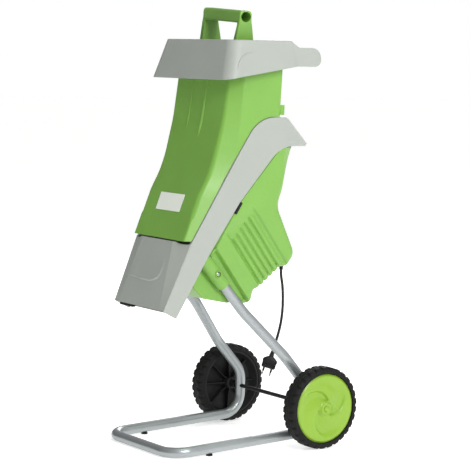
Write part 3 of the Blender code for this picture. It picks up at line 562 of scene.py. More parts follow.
def make_plug():
    """Two-pin mains plug with grip ribs; its pins have an insulated half."""
    end = Vector(CORD_ROUTE[-1])
    along = (end - Vector(CORD_ROUTE[-2])).normalized()
    turn = Vector((0.0, 0.0, -1.0)).rotation_difference(along)
    facing = Quaternion((0.0, 0.0, 1.0), math.radians(55.0))
    base = end + along * 0.0004 + Vector((0.0, AXLE_Y, 0.0))
    where = Matrix.Translation(base) @ (turn @ facing).to_matrix().to_4x4()

    def level(z, half_x, half_y, power=0.6):
        ring = []
        for angle in turns(48):
            c, s = math.cos(angle), math.sin(angle)
            ring.append((half_x * math.copysign(abs(c) ** power, c),
                         half_y * math.copysign(abs(s) ** power, s), z))
        return ring

    rings = [level(0.0, 0.0042, 0.0042, 1.0)]
    for ridge in range(4):
        top = -0.0012 - 0.0032 * ridge
        size = 0.0048 + 0.0005 * ridge
        rings.append(level(top, size, size, 0.9))
        rings.append(level(top - 0.0018, size + 0.0003, size + 0.0002, 0.9))
        rings.append(level(top - 0.0021, size - 0.0008, size - 0.0008, 0.9))
        rings.append(level(top - 0.0029, size - 0.0007, size - 0.0007, 0.9))
    rings += [level(-0.0150, 0.0078, 0.0066, 0.8), level(-0.0180, 0.0125, 0.0076, 0.7),
              level(-0.0215, 0.0170, 0.0083), level(-0.0245, 0.0184, 0.0085),
              level(-0.0265, 0.0185, 0.0085), level(-0.0295, 0.0176, 0.0085)]
    for groove in range(3):
        top = -0.0310 - 0.0030 * groove
        rings.append(level(top, 0.0175, 0.0085))
        rings.append(level(top - 0.0004, 0.0169, 0.0079))
        rings.append(level(top - 0.0012, 0.0169, 0.0079))
        rings.append(level(top - 0.0016, 0.0174, 0.0085))
    rings += [level(-0.0420, 0.0168, 0.0083), level(-0.0436, 0.0160, 0.0078),
              level(-0.0440, 0.0150, 0.0070)]
    body = mesh_object("plug_shell", loft(rings), CORD)
    body.matrix_world = where
    round_edges(body, 0.0)
    settle(body, "chassis", "plug_body")
    made = [body]
    for name, side in SIDES:
        pin = lathe([(0.0, -0.0440), (0.0024, -0.0440), (0.0024, -0.0530), (0.0020, -0.0531),
                     (0.0020, -0.0608), (0.0016, -0.0617), (0.0009, -0.0620), (0.0, -0.0620)])
        metal = mesh_object("pin_" + name, moved(pin, (side * 0.0095, 0.0, 0.0)), STEEL)
        metal.data.materials.append(CORD)
        for face in metal.data.polygons:
            if face.center.z > -0.0530:
                face.material_index = 1
        metal.matrix_world = where
        round_edges(metal, 0.0)
        settle(metal, "chassis", "plug_pin_" + name)
        made.append(metal)
    return made


def make_cord():
    path = smooth_route(CORD_ROUTE, 0.004)
    curve = bpy.data.curves.new("mains_flex", "CURVE")
    curve.dimensions = "3D"
    curve.bevel_depth = CORD_RADIUS
    curve.bevel_resolution = 6
    curve.use_fill_caps = True
    spline = curve.splines.new("POLY")
    spline.points.add(len(path) - 1)
    for point, where in zip(spline.points, path):
        point.co = (*where, 1.0)
    curve.materials.append(CORD)
    cord = new_object("mains_flex", curve)
    cord.location = (0.0, AXLE_Y, 0.0)
    settle(cord, "chassis", "mains_cord")
    profile = [(0.0034, 0.0), (0.0042, 0.0)]
    for ring in range(4):
        low = 0.0015 + 0.0028 * ring
        size = 0.0045 + 0.00045 * ring
        profile += [(size, low), (size + 0.0002, low + 0.0016), (size - 0.0007, low + 0.0019),
                    (size - 0.0006, low + 0.0026)]
    profile += [(0.0060, 0.0135), (0.0060, 0.0258), (0.0034, 0.0258)]
    relief = moved(lathe(profile, 40), (0.078, -0.039, 0.4252))
    sleeve = finished("cord_sleeve", relief, CORD, "chassis", "strain_relief")
    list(make_plug())


# ---------------- frame and wheels
def make_frame():
    knee_z = LEG_FOOT[1] - (0.003 - LEG_FOOT[0]) / LEG_LEAN
    side = [
        (LEG_TOP_X, leg_y(LEG_TOP_Z), LEG_TOP_Z),
        (LEG_TOP_X, leg_y(0.330), 0.330),
        (RUNNER_X, leg_y(0.222), 0.222),
        (RUNNER_X, 0.003, knee_z),
        (RUNNER_X, 0.003, 0.0306),
        (RUNNER_X, FRONT_BAR_Y, TUBE_RADIUS),
    ]
    radii = [0.09, 0.09, 0.06, 0.052, 0.05]
    other = [(-x, y, z) for x, y, z in reversed(side)]
    path = bent_path(side + other, radii + radii[::-1])
    finished("bent_frame", tube(path, TUBE_RADIUS, 40), TUBE, "chassis", "frame_tube")
    for name, sign in SIDES:
        refined("foot_stud_" + name, "chassis", 0.0005)
        head = lathe([(0.0, -0.004), (0.0029, -0.004), (0.0029, 0.0024), (0.0050, 0.0024),
                      (0.0050, 0.0036), (0.0044, 0.0048), (0.0034, 0.0054), (0.0, 0.0056)], 40)
        where = (sign * (LEG_TOP_X + 0.0124), leg_y(LEG_SCREW_Z), LEG_SCREW_Z)
        screw = machine_piece("socket_screw_" + name, place(head, where, (sign, 0, 0)), STEEL)
        for a, b in ((0.0006, 0.0034), (0.0034, 0.0006)):
            x = sorted((where[0] + sign * 0.0036, where[0] + sign * 0.009))
            cut(screw, box((x[0], where[1] - a, where[2] - b), (x[1], where[1] + a, where[2] + b)))
        round_edges(screw, 0.0)
        settle(screw, "chassis", "leg_screw_" + name)
        refined("axle_clip_" + name, "chassis", 0.0003)
        refined("wheel_spacer_" + name, "chassis", 0.0006)
    end = AXLE_HIGH.x
    rod = lathe([(0.0, -end), (AXLE_RADIUS - 0.001, -end), (AXLE_RADIUS, 0.001 - end),
                 (AXLE_RADIUS, end - 0.001), (AXLE_RADIUS - 0.001, end), (0.0, end)], 40)
    finished("axle_rod", place(rod, (0, 0, WHEEL_RADIUS), (1, 0, 0)), BLACK, "chassis", "axle")


def tyre_shape():
    """Solid tyre with a groove round its tread and lugs on both shoulders."""
    half = 0.0225
    wide = [(0.0843, -half + 0.001), (0.0850, -half), (0.0885, -half), (0.0925, -0.0222),
            (0.0950, -0.0208), (0.0975, -0.0185), (0.0993, -0.0160), (0.1000, -0.0135),
            (0.1000, -0.0100), (0.0998, -0.0070), (0.0992, -0.0060), (0.0992, -0.0030),
            (0.0998, -0.0020), (0.1000, 0.0)]
    profile = wide + [(radius, -height) for radius, height in reversed(wide[:-1])]
    lugs = 30
    depth = {3: 0.0007, 4: 0.0022, 5: 0.0034, 6: 0.0040, 7: 0.0038, 8: 0.0030}
    last = len(profile) - 1

    def tread(index, angle, radius):
        from_edge = min(index, last - index)
        if from_edge not in depth:
            return radius
        shift = 0.25 * (1 if index < last - index else -1)
        phase = (angle * lugs / (2.0 * math.pi) + shift) % 1.0
        notch = float(eased(phase, 0.02, 0.16) - eased(phase, 0.34, 0.48))
        return radius - depth[from_edge] * notch

    return lathe(profile, lugs * 12, tread)


def rim_shape():
    """Black rim with a hub, a dished web and radial ribs on its inner side."""
    turned = lathe([(AXLE_RADIUS + 0.0004, -0.0210), (0.0060, -0.0215), (0.0140, -0.0215),
                    (0.0150, -0.0208), (0.0165, 0.0030), (0.0190, 0.0058), (0.0240, 0.0064),
                    (0.0600, 0.0070), (0.0700, 0.0060), (0.0735, 0.0030), (0.0785, -0.0200),
                    (0.0795, -0.0213), (0.0830, -0.0215), (0.0839, -0.0208), (0.0839, 0.0158),
                    (0.0830, 0.0162), (0.0750, 0.0162), (0.0720, 0.0130),
                    (AXLE_RADIUS + 0.0004, 0.0105)], 96)
    ribs = []
    for index in range(8):
        angle = math.pi * index / 4.0
        out = Vector((math.cos(angle), math.sin(angle), 0.0))
        over = Vector((-out.y, out.x, 0.0)) * 0.0012
        ring = []
        for radius, height in ((0.0150, 0.0080), (0.0740, 0.0080), (0.0765, -0.0060),
                               (0.0700, -0.0040), (0.0300, -0.0080), (0.0155, -0.0120)):
            ring.append(out * radius + Vector((0.0, 0.0, height)))
        ribs.append(loft([[p - over for p in ring], [p + over for p in ring]]))
    return merged(turned, *ribs)


def wheel_disc_shape():
    """Domed wheel cover with a raised hub and three smooth turbine-like vanes."""
    radii = [0.0040, 0.0058, 0.0066, 0.0092, 0.0100, 0.0118, 0.0130, 0.0142, 0.0160]
    radii += [0.0160 + 0.0018 * step for step in range(1, 34)]
    radii += [0.0770, 0.0785, 0.0800, 0.0815, 0.0828, 0.0836]

    def height(radius, angle):
        dome = 0.0212 + 0.0022 * float(eased(-radius, -0.078, -0.020))
        hub = 0.0036 * float(eased(-radius, -0.0175, -0.0140))
        dimple = -0.0018 * float(eased(radius, 0.0095, 0.0085) - eased(radius, 0.0066, 0.0056))
        turn = (angle * 3.0 / (2.0 * math.pi) - 1.20 * (radius / 0.08) ** 0.8) % 1.0
        vane = float(eased(turn, 0.0, 0.70) * (1.0 - eased(turn, 0.86, 1.0)))
        reach = float(eased(radius, 0.0165, 0.0225) * (1.0 - eased(radius, 0.052, 0.0755)))
        rim = -0.0034 * float(eased(radius, 0.0785, 0.0836))
        return dome + hub + dimple + rim - 0.0072 * reach * (1.0 - vane)

    rings = [[(radius * math.cos(angle), radius * math.sin(angle), height(radius, angle))
              for angle in turns(180)] for radius in radii]
    back = [(x, y, 0.0168) for x, y, z in rings[-1]]
    return loft([*rings, back])


def make_wheel(name, side):
    body = "wheel_" + name
    where = Matrix.Translation((side * WHEEL_X, AXLE_Y, WHEEL_RADIUS))
    where = where @ Matrix.Rotation(side * math.pi / 2.0, 4, "Y")
    parts = (("tyre", tyre_shape(), RUBBER, "tyre_"), ("rim", rim_shape(), BLACK, "wheel_rim_"),
             ("cover", wheel_disc_shape(), WHEEL_GREEN, "wheel_disc_"))
    for kind, shape, look, node in parts:
        made = mesh_object(f"{kind}_{name}", shape, look)
        made.matrix_world = where
        made.data.shade_smooth()
        made.data.set_sharp_from_angle(angle=math.radians(38.0))
        settle(made, body, node + name)


# ---------------- motor housing
RIB_ALONG = np.array((0.616, -0.788))
RIB_ACROSS = np.array((0.788, 0.616))
RIB_FIRST = 0.1490
RIB_PITCH = 0.0163
CASING_ROWS = 280
CASING_COLUMNS = 130
REAR_COLUMNS = 90
CASING_CORNER = 0.019
FLANGE = (-0.0040, 0.0030)   # how far the side wall reaches in under the bands, in y and z
HOUSING_FRONT = [(-0.0840, 0.7270), (-0.1960, 0.5960), (-0.2690, 0.4715), (-0.1824, 0.3696)]
HOUSING_REAR = [(-0.0320, 0.7280), (-0.0800, 0.5860, 0.045), (-0.0175, 0.4650, 0.030),
                (-0.0400, 0.4370, 0.008), (-0.0590, 0.4350, 0.004), (-0.1180, 0.3880, 0.008),
                (-0.1360, 0.3820, 0.008), (-0.1430, 0.3520, 0.012), (-0.1700, 0.3500)]


def resampled(points, count):
    """The same open line, as evenly spaced points."""
    line = np.array(points)
    steps = np.r_[0.0, np.cumsum(np.linalg.norm(np.diff(line, axis=0), axis=1))]
    at = np.linspace(0.0, steps[-1], count)
    return np.stack([np.interp(at, steps, line[:, 0]), np.interp(at, steps, line[:, 1])], axis=1)


def distance_to(points, line):
    """Each point's distance to an open line."""
    nearest = np.full(len(points), 1.0)
    for start, end in zip(line, line[1:]):
        run = end - start
        share = np.clip(((points - start) @ run) / max(run @ run, 1e-12), 0.0, 1.0)
        gap = np.linalg.norm(points - start - share[:, None] * run, axis=1)
        nearest = np.minimum(nearest, gap)
    return nearest


def rib_relief(points):
    """How far the side wall stands out or in at each (y, z) point of the lower casing."""
    over = points @ RIB_ACROSS
    along = points @ RIB_ALONG
    field = eased(over, 0.1395, 0.1450) * (1.0 - eased(over, 0.2335, 0.2400))
    field = field * eased(along, -0.5700, -0.5420)
    wall = -0.0060 * field
    for index in range(5):
        line = RIB_FIRST + RIB_PITCH * index
        start = -0.5330 - 0.0035 * index
        groove = np.exp(-((over - line) / 0.0021) ** 2) * eased(along, start, start + 0.006)
        wall = wall - 0.0046 * groove
        bar = np.exp(-((over - line - RIB_PITCH / 2.0) / 0.0050) ** 4)
        wall = wall + 0.0016 * bar * field * eased(along, start, start + 0.010)
    column = eased(over, 0.0930, 0.1010)
    wall = wall - 0.0120 * (1.0 - column) * eased(along, -0.5700, -0.5400)
    crease = np.exp(-((over - 0.1290) / 0.0035) ** 2) * eased(along, -0.5200, -0.5000)
    return wall - 0.0006 * crease


def rear_relief(share, z):
    """Depth of the shallow panel in the casing's rear wall and of the vent grooves in it."""
    inside = (1.0 - eased(abs(share), 0.66, 0.70)) * eased(z, 0.622, 0.627)
    panel = 0.0014 * inside * (1.0 - eased(z, 0.712, 0.717))
    grooves = 0.0
    if abs(share) < 0.60:
        for index in range(5):
            grooves += 0.0026 * math.exp(-((z - 0.640 - 0.014 * index) / 0.0028) ** 4)
    return panel + grooves * (1.0 - eased(abs(share), 0.50, 0.54))


def side_wall(front, rear, rear_line):
    """A grid over one side wall, front edge to rear: half widths and (y, z) places."""
    radius = CASING_CORNER
    across_wall = (1.0 - (1.0 - np.linspace(0.0, 1.0, CASING_COLUMNS)) ** 1.7)[None, :, None]
    points = front[:, None, :] * (1.0 - across_wall) + rear[:, None, :] * across_wall
    flat = points.reshape(-1, 2)
    gap = distance_to(flat, resampled(rear_line, 400))
    over = flat @ RIB_ACROSS
    notch = np.zeros(len(flat))
    for index in range(5):
        notch += np.exp(-((over - RIB_FIRST - RIB_PITCH * index) / 0.0030) ** 2)
    belly = eased(flat[:, 1], 0.452, 0.440) * eased(flat[:, 0], -0.130, -0.118)
    flat = flat - RIB_ALONG * (0.0038 * notch * belly * eased(gap, 0.030, 0.0))[:, None]
    inside = np.clip(gap, 0.0, radius)
    corner = radius - np.sqrt(np.maximum(radius ** 2 - (radius - inside) ** 2, 0.0))
    width = SIDE_X + SIDE_FLARE * (flat[:, 1] - SIDE_Z) - SHELL_INSET
    by_band = distance_to(flat, np.array(HOUSING_FRONT[:3]))
    relief = np.maximum(rib_relief(flat) * eased(gap, 0.0, 0.012),
                        -0.0055 - 0.02 * eased(by_band, 0.003, 0.014))
    bevel = 0.036 * eased(flat[:, 1], 0.590, 0.720)
    width = width + relief - corner - 0.62 * np.maximum(bevel - gap, 0.0)
    grid = (len(front), CASING_COLUMNS)
    return width.reshape(grid), flat.reshape(*grid, 2)


def make_housing():
    """Motor casing: two relief-moulded side walls joined by its rear and belly."""
    rear_line = rounded(HOUSING_REAR, 10)
    rear = resampled(rear_line, CASING_ROWS)
    front = resampled(HOUSING_FRONT, CASING_ROWS)
    width, flat = side_wall(front, rear, rear_line)
    rings = []
    run = np.gradient(rear, axis=0)
    inward = np.stack([run[:, 1], -run[:, 0]], axis=1) / np.linalg.norm(run, axis=1)[:, None]
    for row in range(CASING_ROWS):
        y, z = front[row]
        under = side_x(z, 0.0115)
        side = [(under, y + FLANGE[0], z + FLANGE[1]), (under, y, z)]
        side += [(width[row, i], *flat[row, i]) for i in range(CASING_COLUMNS)]
        ring = list(side)
        edge = width[row, -1]
        y, z = flat[row, -1]
        for step in range(1, REAR_COLUMNS):
            share = 1.0 - 2.0 * step / REAR_COLUMNS
            depth = rear_relief(share, z)
            ring.append((edge * share, y + inward[row, 0] * depth, z + inward[row, 1] * depth))
        ring += [(-x, y, z) for x, y, z in reversed(side)]
        rings.append(ring)
    shape = loft(rings, closed_ends=False, ring_closed=False)
    housing = machine_piece("motor_casing", shape, GREEN)
    housing.data.shade_smooth()
    step = housing.modifiers.new("wall", "SOLIDIFY")
    step.thickness = WALL
    step.offset = -1.0
    settle(housing, "chassis", "motor_housing")
    make_sockets()


def make_sockets():
    """The block under the casing and the two sleeves that the legs go up into."""
    outline = rounded([(-0.2735, 0.4700), (-0.2995, 0.4240, 0.004), (-0.3060, 0.3960, 0.010),
                       (-0.2750, 0.3670, 0.012), (-0.2050, 0.3530, 0.010), (-0.1640, 0.3560),
                       (-0.1700, 0.4000), (-0.2400, 0.4640)], 6)
    finished("socket_block", prism(outline, -0.091, 0.091), GREEN, "chassis", "motor_housing",
             0.004, 4)
    up_leg = Vector((0.0, -LEG_LEAN, 1.0)).normalized()
    for name, sign in SIDES:
        sleeve = lathe([(0.0127, 0.0), (0.0150, 0.0), (0.0160, 0.0012), (0.0163, 0.010),
                        (0.0172, 0.045), (0.0176, 0.075), (0.0165, 0.086), (0.0130, 0.092),
                        (0.0, 0.094), (0.0, 0.070), (0.0127, 0.068)], 56)
        foot = Vector((sign * LEG_TOP_X, leg_y(SLEEVE_FOOT_Z), SLEEVE_FOOT_Z))
        made = machine_piece("leg_sleeve_" + name, place(sleeve, foot, up_leg), GREEN)
        screw = Vector((sign * (LEG_TOP_X + 0.0145), leg_y(LEG_SCREW_Z), LEG_SCREW_Z))
        boss = lathe([(0.0066, 0.0), (0.0086, 0.0), (0.0088, 0.0042), (0.0080, 0.0052),
                      (0.0068, 0.0050), (0.0064, 0.0042)], 40)
        join(made, place(disc(0.0087, -0.006, 0.0042, 40), screw, (sign, 0, 0)))
        cut(made, place(disc(0.0064, 0.0005, 0.02, 40), screw, (sign, 0, 0)))
        round_edges(made, 0.0006, 2)
        settle(made, "chassis", "motor_housing")
        finished("screw_ring_" + name, place(boss, screw, (sign, 0, 0)), GREEN, "chassis",
                 "motor_housing")


# ---------------- bands, bridge and chute
def make_bands():
    outline = rounded(BAND_FRONT + BEAK + BAND_REAR, 18)
    slot = [(-0.1955, 0.5985), (-0.2125, 0.5725), (-0.2080, 0.5690), (-0.1910, 0.5950)]
    for name, sign in SIDES:
        low, high = sorted((0.010, 0.0), reverse=sign > 0)
        shape = prism(outline, lambda z: sign * side_x(z, low), lambda z: sign * side_x(z, high))
        node = "side_band_" + name
        finished("band_" + name, shape, GREY, "chassis", node, 0.0024, 4)
        catch = prism(rounded([(*corner, 0.001) for corner in slot], 4),
                      sign * side_x(CATCH_Z, 0.006), sign * side_x(CATCH_Z, -0.0004))
        finished("band_catch_" + name, catch, BLACK, "chassis", node, 0.0004, 2, "black_plastic")
    refined("rear_bridge", "chassis", 0.0012)


def chute_line(z):
    """Outer (x, y) line of the chute cover at a height: facet, front face, facet."""
    t = (z - CHUTE_BOTTOM) / (CHUTE_UPPER - CHUTE_BOTTOM)
    face_x = 0.091 + (0.070 - 0.091) * t
    face_y = -0.4000 + (-0.3540 + 0.4000) * t
    end_x = side_x(z, 0.0002)
    end_y = -0.3990 + (-0.3380 + 0.3990) * t
    half = [(face_x, face_y, 0.007 * min(1.0, 0.35 + t)), (end_x, end_y)]
    line = rounded([(0.0, face_y), *half, (0.0, end_y)], 8)[:-1]
    front = [(x, face_y) for x in np.linspace(0.0, line[1][0], 34)]
    facet = [tuple(Vector(line[-2]).lerp(Vector(line[-1]), s)) for s in np.linspace(0.0, 1.0, 8)]
    right = front + line[2:-2] + facet
    left = [(-x, y) for x, y in reversed(right[1:])]
    return left + right


# lower edge of the finger grip on the cover's front face, as (x, z)
GRIP_EDGE = [(-0.078, 0.4140), (-0.067, 0.4120), (-0.045, 0.4100), (-0.024, 0.4088),
             (0.000, 0.4084), (0.021, 0.4090), (0.036, 0.4125), (0.047, 0.4180),
             (0.0535, 0.4270), (0.0570, 0.4420)]


def finger_grip(x, z):
    """How far the finger grip stands out: a swelling that ends in a sharp curved lip."""
    edge = np.interp(x, *np.array(GRIP_EDGE).T)
    wide = eased(x, -0.080, -0.055) * (1.0 - eased(x, 0.050, 0.060))
    above = eased(z, edge - 0.0010, edge + 0.0014)
    return 0.0030 * wide * above * math.exp(-max(0.0, z - edge) / 0.018)


def make_chute():
    levels = np.linspace(CHUTE_BOTTOM, SEAM_BOTTOM, 90)
    outer = []
    inner = []
    for z in levels:
        line = np.array(chute_line(z))
        run = np.gradient(line, axis=0)
        normal = np.stack([-run[:, 1], run[:, 0]], axis=1)
        normal /= np.linalg.norm(normal, axis=1)[:, None]
        back = line + normal * WALL
        outer.append([(x, y - finger_grip(x, z), z) for x, y in line])
        inner.append([(x, max(y, line[0][1] - 0.075), z) for x, y in back])
    rings = [front + back[::-1] for front, back in zip(outer, inner)]
    cover = machine_piece("chute_shell", loft(rings), GREY)
    for x0, x1 in ((-0.125, -0.070), (0.070, 0.125)):
        cut(cover, place(disc(FRONT_SWING, x0, x1, 64), (0.0, *HINGE), (1, 0, 0)))
    knuckle = place(disc(KNUCKLE_RADIUS, -COVER_KNUCKLE_X, COVER_KNUCKLE_X, 24), (0.0, *HINGE),
                    (1, 0, 0))
    web = [(-0.3337, 0.5105), (-0.3370, 0.5070), (-0.3370, 0.4965), (-0.3523, 0.4925),
           (-0.3515, 0.4880), (-0.3337, 0.4930)]
    round_edges(cover, 0.0)
    settle(cover, "chassis", "chute_cover")
    finished("cover_knuckle", merged(prism(web, -COVER_KNUCKLE_X, COVER_KNUCKLE_X), knuckle),
             GREY, "chassis", "chute_cover")
    refined("chute_floor", "chassis", 0.0008)
    refined("chute_lip", "chassis", 0.0015)
    refined("hinge_pin", "chassis", 0.0)


# ---------------- feed hopper
# (height, front face, edge between chamfer and side) of the feed hopper's walls
FUNNEL_STATIONS = [(SEAM_TOP, -0.3475, -0.3315), (0.622, -0.3030, -0.2620),
                   (0.655, -0.2830, -0.2380), (0.700, -0.2660, -0.2140),
                   (0.790, -0.2430, -0.2060), (0.885, -0.2285, -0.2005),
                   (FUNNEL_TOP, -0.2215, -0.2000)]
FUNNEL_REAR = -0.093
FUNNEL_FRONT_X = 0.110


def wall_at(z):
    """Front face and chamfer edge of the funnel at a height, with the bends softened."""
    rows = np.array(FUNNEL_STATIONS)
    soft = min(0.016, z - rows[0, 0], rows[-1, 0] - z)
    heights = z + np.linspace(-soft, soft, 9)
    return np.array([np.interp(heights, rows[:, 0], rows[:, i]).mean() for i in (1, 2)])


def funnel_ring(z, wall):
    """The funnel's outline at a height: outer for no wall, else that much further in."""
    front, chamfer = wall_at(z)
    x = side_x(z, SHELL_INSET + wall)
    front_x = FUNNEL_FRONT_X - wall * 0.5
    front += wall
    chamfer += wall * 0.5
    soft = 0.5 if z < 0.56 else 1.0
    corners = [(x, FUNNEL_REAR - wall, 0.006), (x, chamfer, 0.016 * soft),
               (front_x, front, 0.014 * soft), (-front_x, front, 0.014 * soft),
               (-x, chamfer, 0.016 * soft), (-x, FUNNEL_REAR - wall, 0.006)]
    return [(px, py, z) for px, py in rounded(corners, 8)]


def front_rib(x, top, bottom, radius):
    """A narrow raised rib down the funnel's front wall, fading out at its lower end."""
    heights = np.linspace(top, bottom, 40)
    path = [Vector((x, wall_at(z)[0] + 0.45 * radius, z)) for z in heights]
    radii = [radius * float(0.25 + 0.75 * eased(z, bottom, bottom + 0.05)) for z in heights]
    return tube(path, radii, 12)


def slab_on_slope(half_x, start, end, low, high):
    """A plate on the rear slope; start and end run down it, low and high off it."""
    slope = Vector((0.0, math.sqrt(0.5), -math.sqrt(0.5)))
    normal = Vector((0.0, math.sqrt(0.5), math.sqrt(0.5)))
    ring = []
    for along, up in ((start, low), (end, low), (end, high), (start, high)):
        point = Vector((0.0, *LATCH)) + slope * along + normal * up
        ring.append((point.y, point.z))
    return prism(ring, -half_x, half_x)


def make_funnel():
    levels = np.linspace(SEAM_TOP, FUNNEL_TOP, 70)
    rings = [funnel_ring(z, 0.0) for z in levels]
    rings += [funnel_ring(z, WALL) for z in levels[::-1]]
    funnel = machine_piece("funnel_shell", loop_loft(rings), GREEN)
    gap = 0.001
    parting = [(y - gap, z + gap, *rest) for y, z, *rest in BAND_FRONT]
    below = rounded([*parting, (0.05, 0.8005), (0.05, 0.30)], 18)
    cut(funnel, prism(below, -0.2, 0.2))
    flange_x = side_x(0.81, SHELL_INSET)
    join(funnel, box((-flange_x, FUNNEL_REAR - WALL + 0.0004, 0.805), (flange_x, -0.083, 0.829)),
         slab_on_slope(0.026, -0.058, 0.010, 0.0008, 0.0045))
    cut(funnel, slab_on_slope(0.0055, -0.006, 0.02, -0.002, 0.01))
    round_edges(funnel, 0.0007, 2, 40.0)
    settle(funnel, "hopper", "feed_funnel")
    extras = []
    for x0, x1 in ((-0.085, -0.035), (0.035, 0.085)):
        web = [(HINGE[0] - 0.0068, HINGE[1]), (HINGE[0] + 0.001, HINGE[1] + 0.0005),
               (HINGE[0] + 0.0036, HINGE[1] + 0.0020), (HINGE[0] - 0.0005, HINGE[1] + 0.0130)]
        extras.append(prism(web, x0, x1))
        extras.append(place(disc(KNUCKLE_RADIUS, x0, x1, 24), (0.0, *HINGE), (1, 0, 0)))
    finished("hopper_knuckles", merged(*extras), GREEN, "hopper", "feed_funnel")
    ribs = merged(front_rib(-0.039, 0.900, 0.745, 0.0036), front_rib(0.0195, 0.900, 0.730, 0.0052))
    bead("funnel_ribs", ribs, GREEN, "hopper", "feed_funnel")


def hood_ring(z, front_y, rear_y, half_x, radius=0.030, slant=False):
    """One outline of the hood, level or rising towards the rear."""
    corners = [(half_x, rear_y, 0.006), (half_x, front_y, radius), (-half_x, front_y, radius),
               (-half_x, rear_y, 0.006)]
    return [(x, y, min(z + 0.205 * (y - front_y), 0.9205) if slant else z)
            for x, y in rounded(corners, 14)]


def hood_side_x(z):
    """Outer half width of the hood at a height."""
    return float(np.interp(z, [0.8865, 0.9435, 0.978], [0.1735, 0.1610, 0.1530]))


def make_hood():
    throat_x = side_x(FUNNEL_TOP, SHELL_INSET)
    rings = [
        hood_ring(0.8865, -0.2735, -0.0720, 0.1735, slant=True),
        hood_ring(0.9435, -0.2575, -0.0720, 0.1610),
        hood_ring(0.9775, -0.2482, -0.0722, 0.1532),
        hood_ring(0.9797, -0.2474, -0.0730, 0.1524),
        hood_ring(HOOD_TOP, -0.2455, -0.0750, 0.1505),
        hood_ring(HOOD_TOP, -0.2385, -0.0790, 0.1435, 0.024),
        hood_ring(0.9797, -0.2364, -0.0806, 0.1414, 0.022),
        hood_ring(0.9760, -0.2352, -0.0815, 0.1404, 0.021),
        hood_ring(FUNNEL_TOP + 0.0004, -0.2185, -0.0955, throat_x - WALL, 0.012),
        hood_ring(FUNNEL_TOP + 0.0004, -0.2215, -0.0925, throat_x, 0.012),
        hood_ring(HOOD_TOP - 0.006, -0.2400, -0.0785, 0.1450, 0.022),
        hood_ring(0.9435, -0.2540, -0.0755, 0.1575),
        hood_ring(0.8895, -0.2700, -0.0755, 0.1700, slant=True),
    ]
    hood = machine_piece("hood_shell", loop_loft(rings), GREY)
    y, z = ARM_CENTRE
    arm = rounded([(-0.100, z - ARM_RADIUS), (y + ARM_RADIUS, z - ARM_RADIUS, ARM_RADIUS - 0.0005),
                   (y + ARM_RADIUS, z + ARM_RADIUS, ARM_RADIUS - 0.0005),
                   (-0.058, z + ARM_RADIUS, 0.012), (-0.0745, 0.9770, 0.006), (-0.100, 0.9770)], 12)
    for side in (-1, 1):
        join(hood, prism(arm, side * ARM_INNER_X, lambda h: side * (hood_side_x(h) - 0.0004)))
    round_edges(hood, 0.0011, 3, 34.0)
    settle(hood, "hopper", "hopper_hood")
    arc = smooth_route([(0.0, -0.2440, 0.9060), (0.0, -0.2410, 0.9200), (0.0, -0.2330, 0.9335),
                        (0.0, -0.2210, 0.9440), (0.0, -0.2050, 0.9500), (0.0, -0.1850, 0.9525)],
                       0.002)
    for name, side in SIDES:
        path = [Vector((side * (hood_side_x(p.z) - 0.0006), p.y, p.z)) for p in arc]
        radii = [0.0004 + 0.0019 * math.sin(math.pi * (index / (len(path) - 1))) ** 0.6
                 for index in range(len(path))]
        bead("hood_bead_" + name, tube(path, radii, 12), GREY, "hopper", "hopper_hood")
    bar_x = ARM_INNER_X - 0.0004
    bar = lathe([(0.0105, -bar_x), (0.0125, -bar_x), (0.0125, bar_x), (0.0105, bar_x)], 56)
    finished("carry_bar", place(bar, (0.0, *ARM_CENTRE), (1, 0, 0)), BLACK, "hopper",
             "transport_bar", 0.0004, 2)


def make_tamper():
    """Push-down tool: two deep tapering cheeks and a hollow cross handle on a block."""
    where = (Matrix.Translation((0.0, AXLE_Y + TAMPER_Y, FUNNEL_TOP))
             @ Matrix.Rotation(TAMPER_TURN, 4, "Z") @ Matrix.Rotation(TAMPER_LEAN, 4, "Y"))

    def level(z, half_x, half_y, radius=0.004):
        left = -half_x - 0.008 * float(eased(z, 0.0, 0.100))
        corners = [(left, -half_y, radius), (half_x, -half_y, radius),
                   (half_x, half_y, radius), (left, half_y, radius)]
        return [(x, y, z) for x, y in rounded(corners, 5)]

    rings = [level(-0.130, 0.072, 0.016), level(-0.128, 0.074, 0.018), level(0.000, 0.086, 0.024),
             level(0.040, 0.093, 0.027), level(0.092, 0.094, 0.0185), level(0.098, 0.094, 0.0172),
             level(0.106, 0.094, 0.0165), level(0.117, 0.094, 0.0165), level(0.1215, 0.0932, 0.0152),
             level(0.1240, 0.0922, 0.0128), level(0.125, 0.0905, 0.0095, 0.003)]
    tamper = mesh_object("tamper_tool", loft(rings), GREEN)
    window = rounded([(-0.079, 0.030, 0.006), (0.079, 0.030, 0.006), (0.0852, 0.096, 0.004),
                      (-0.0852, 0.096, 0.004)], 6)
    cut(tamper, loft([[(x, y, z) for x, z in window] for y in (-0.05, 0.05)]),
        box((-0.070, -0.0145, -0.14), (0.070, 0.0145, 0.022)))
    bore_z = 0.1103
    bore = [[(x, 0.0128 * math.cos(angle), bore_z + 0.0122 * math.sin(angle))
             for angle in turns(40)] for x in (-0.12, 0.12)]
    cut(tamper, loft(bore))
    for z in TAMPER_LINES:
        cut(tamper, box((-0.096, -0.030, z - 0.0006), (0.090, -0.0156, z + 0.0006)))
    tamper.matrix_world = where
    round_edges(tamper, 0.0012, 3, 34.0)
    settle(tamper, "tamper", "tamper")


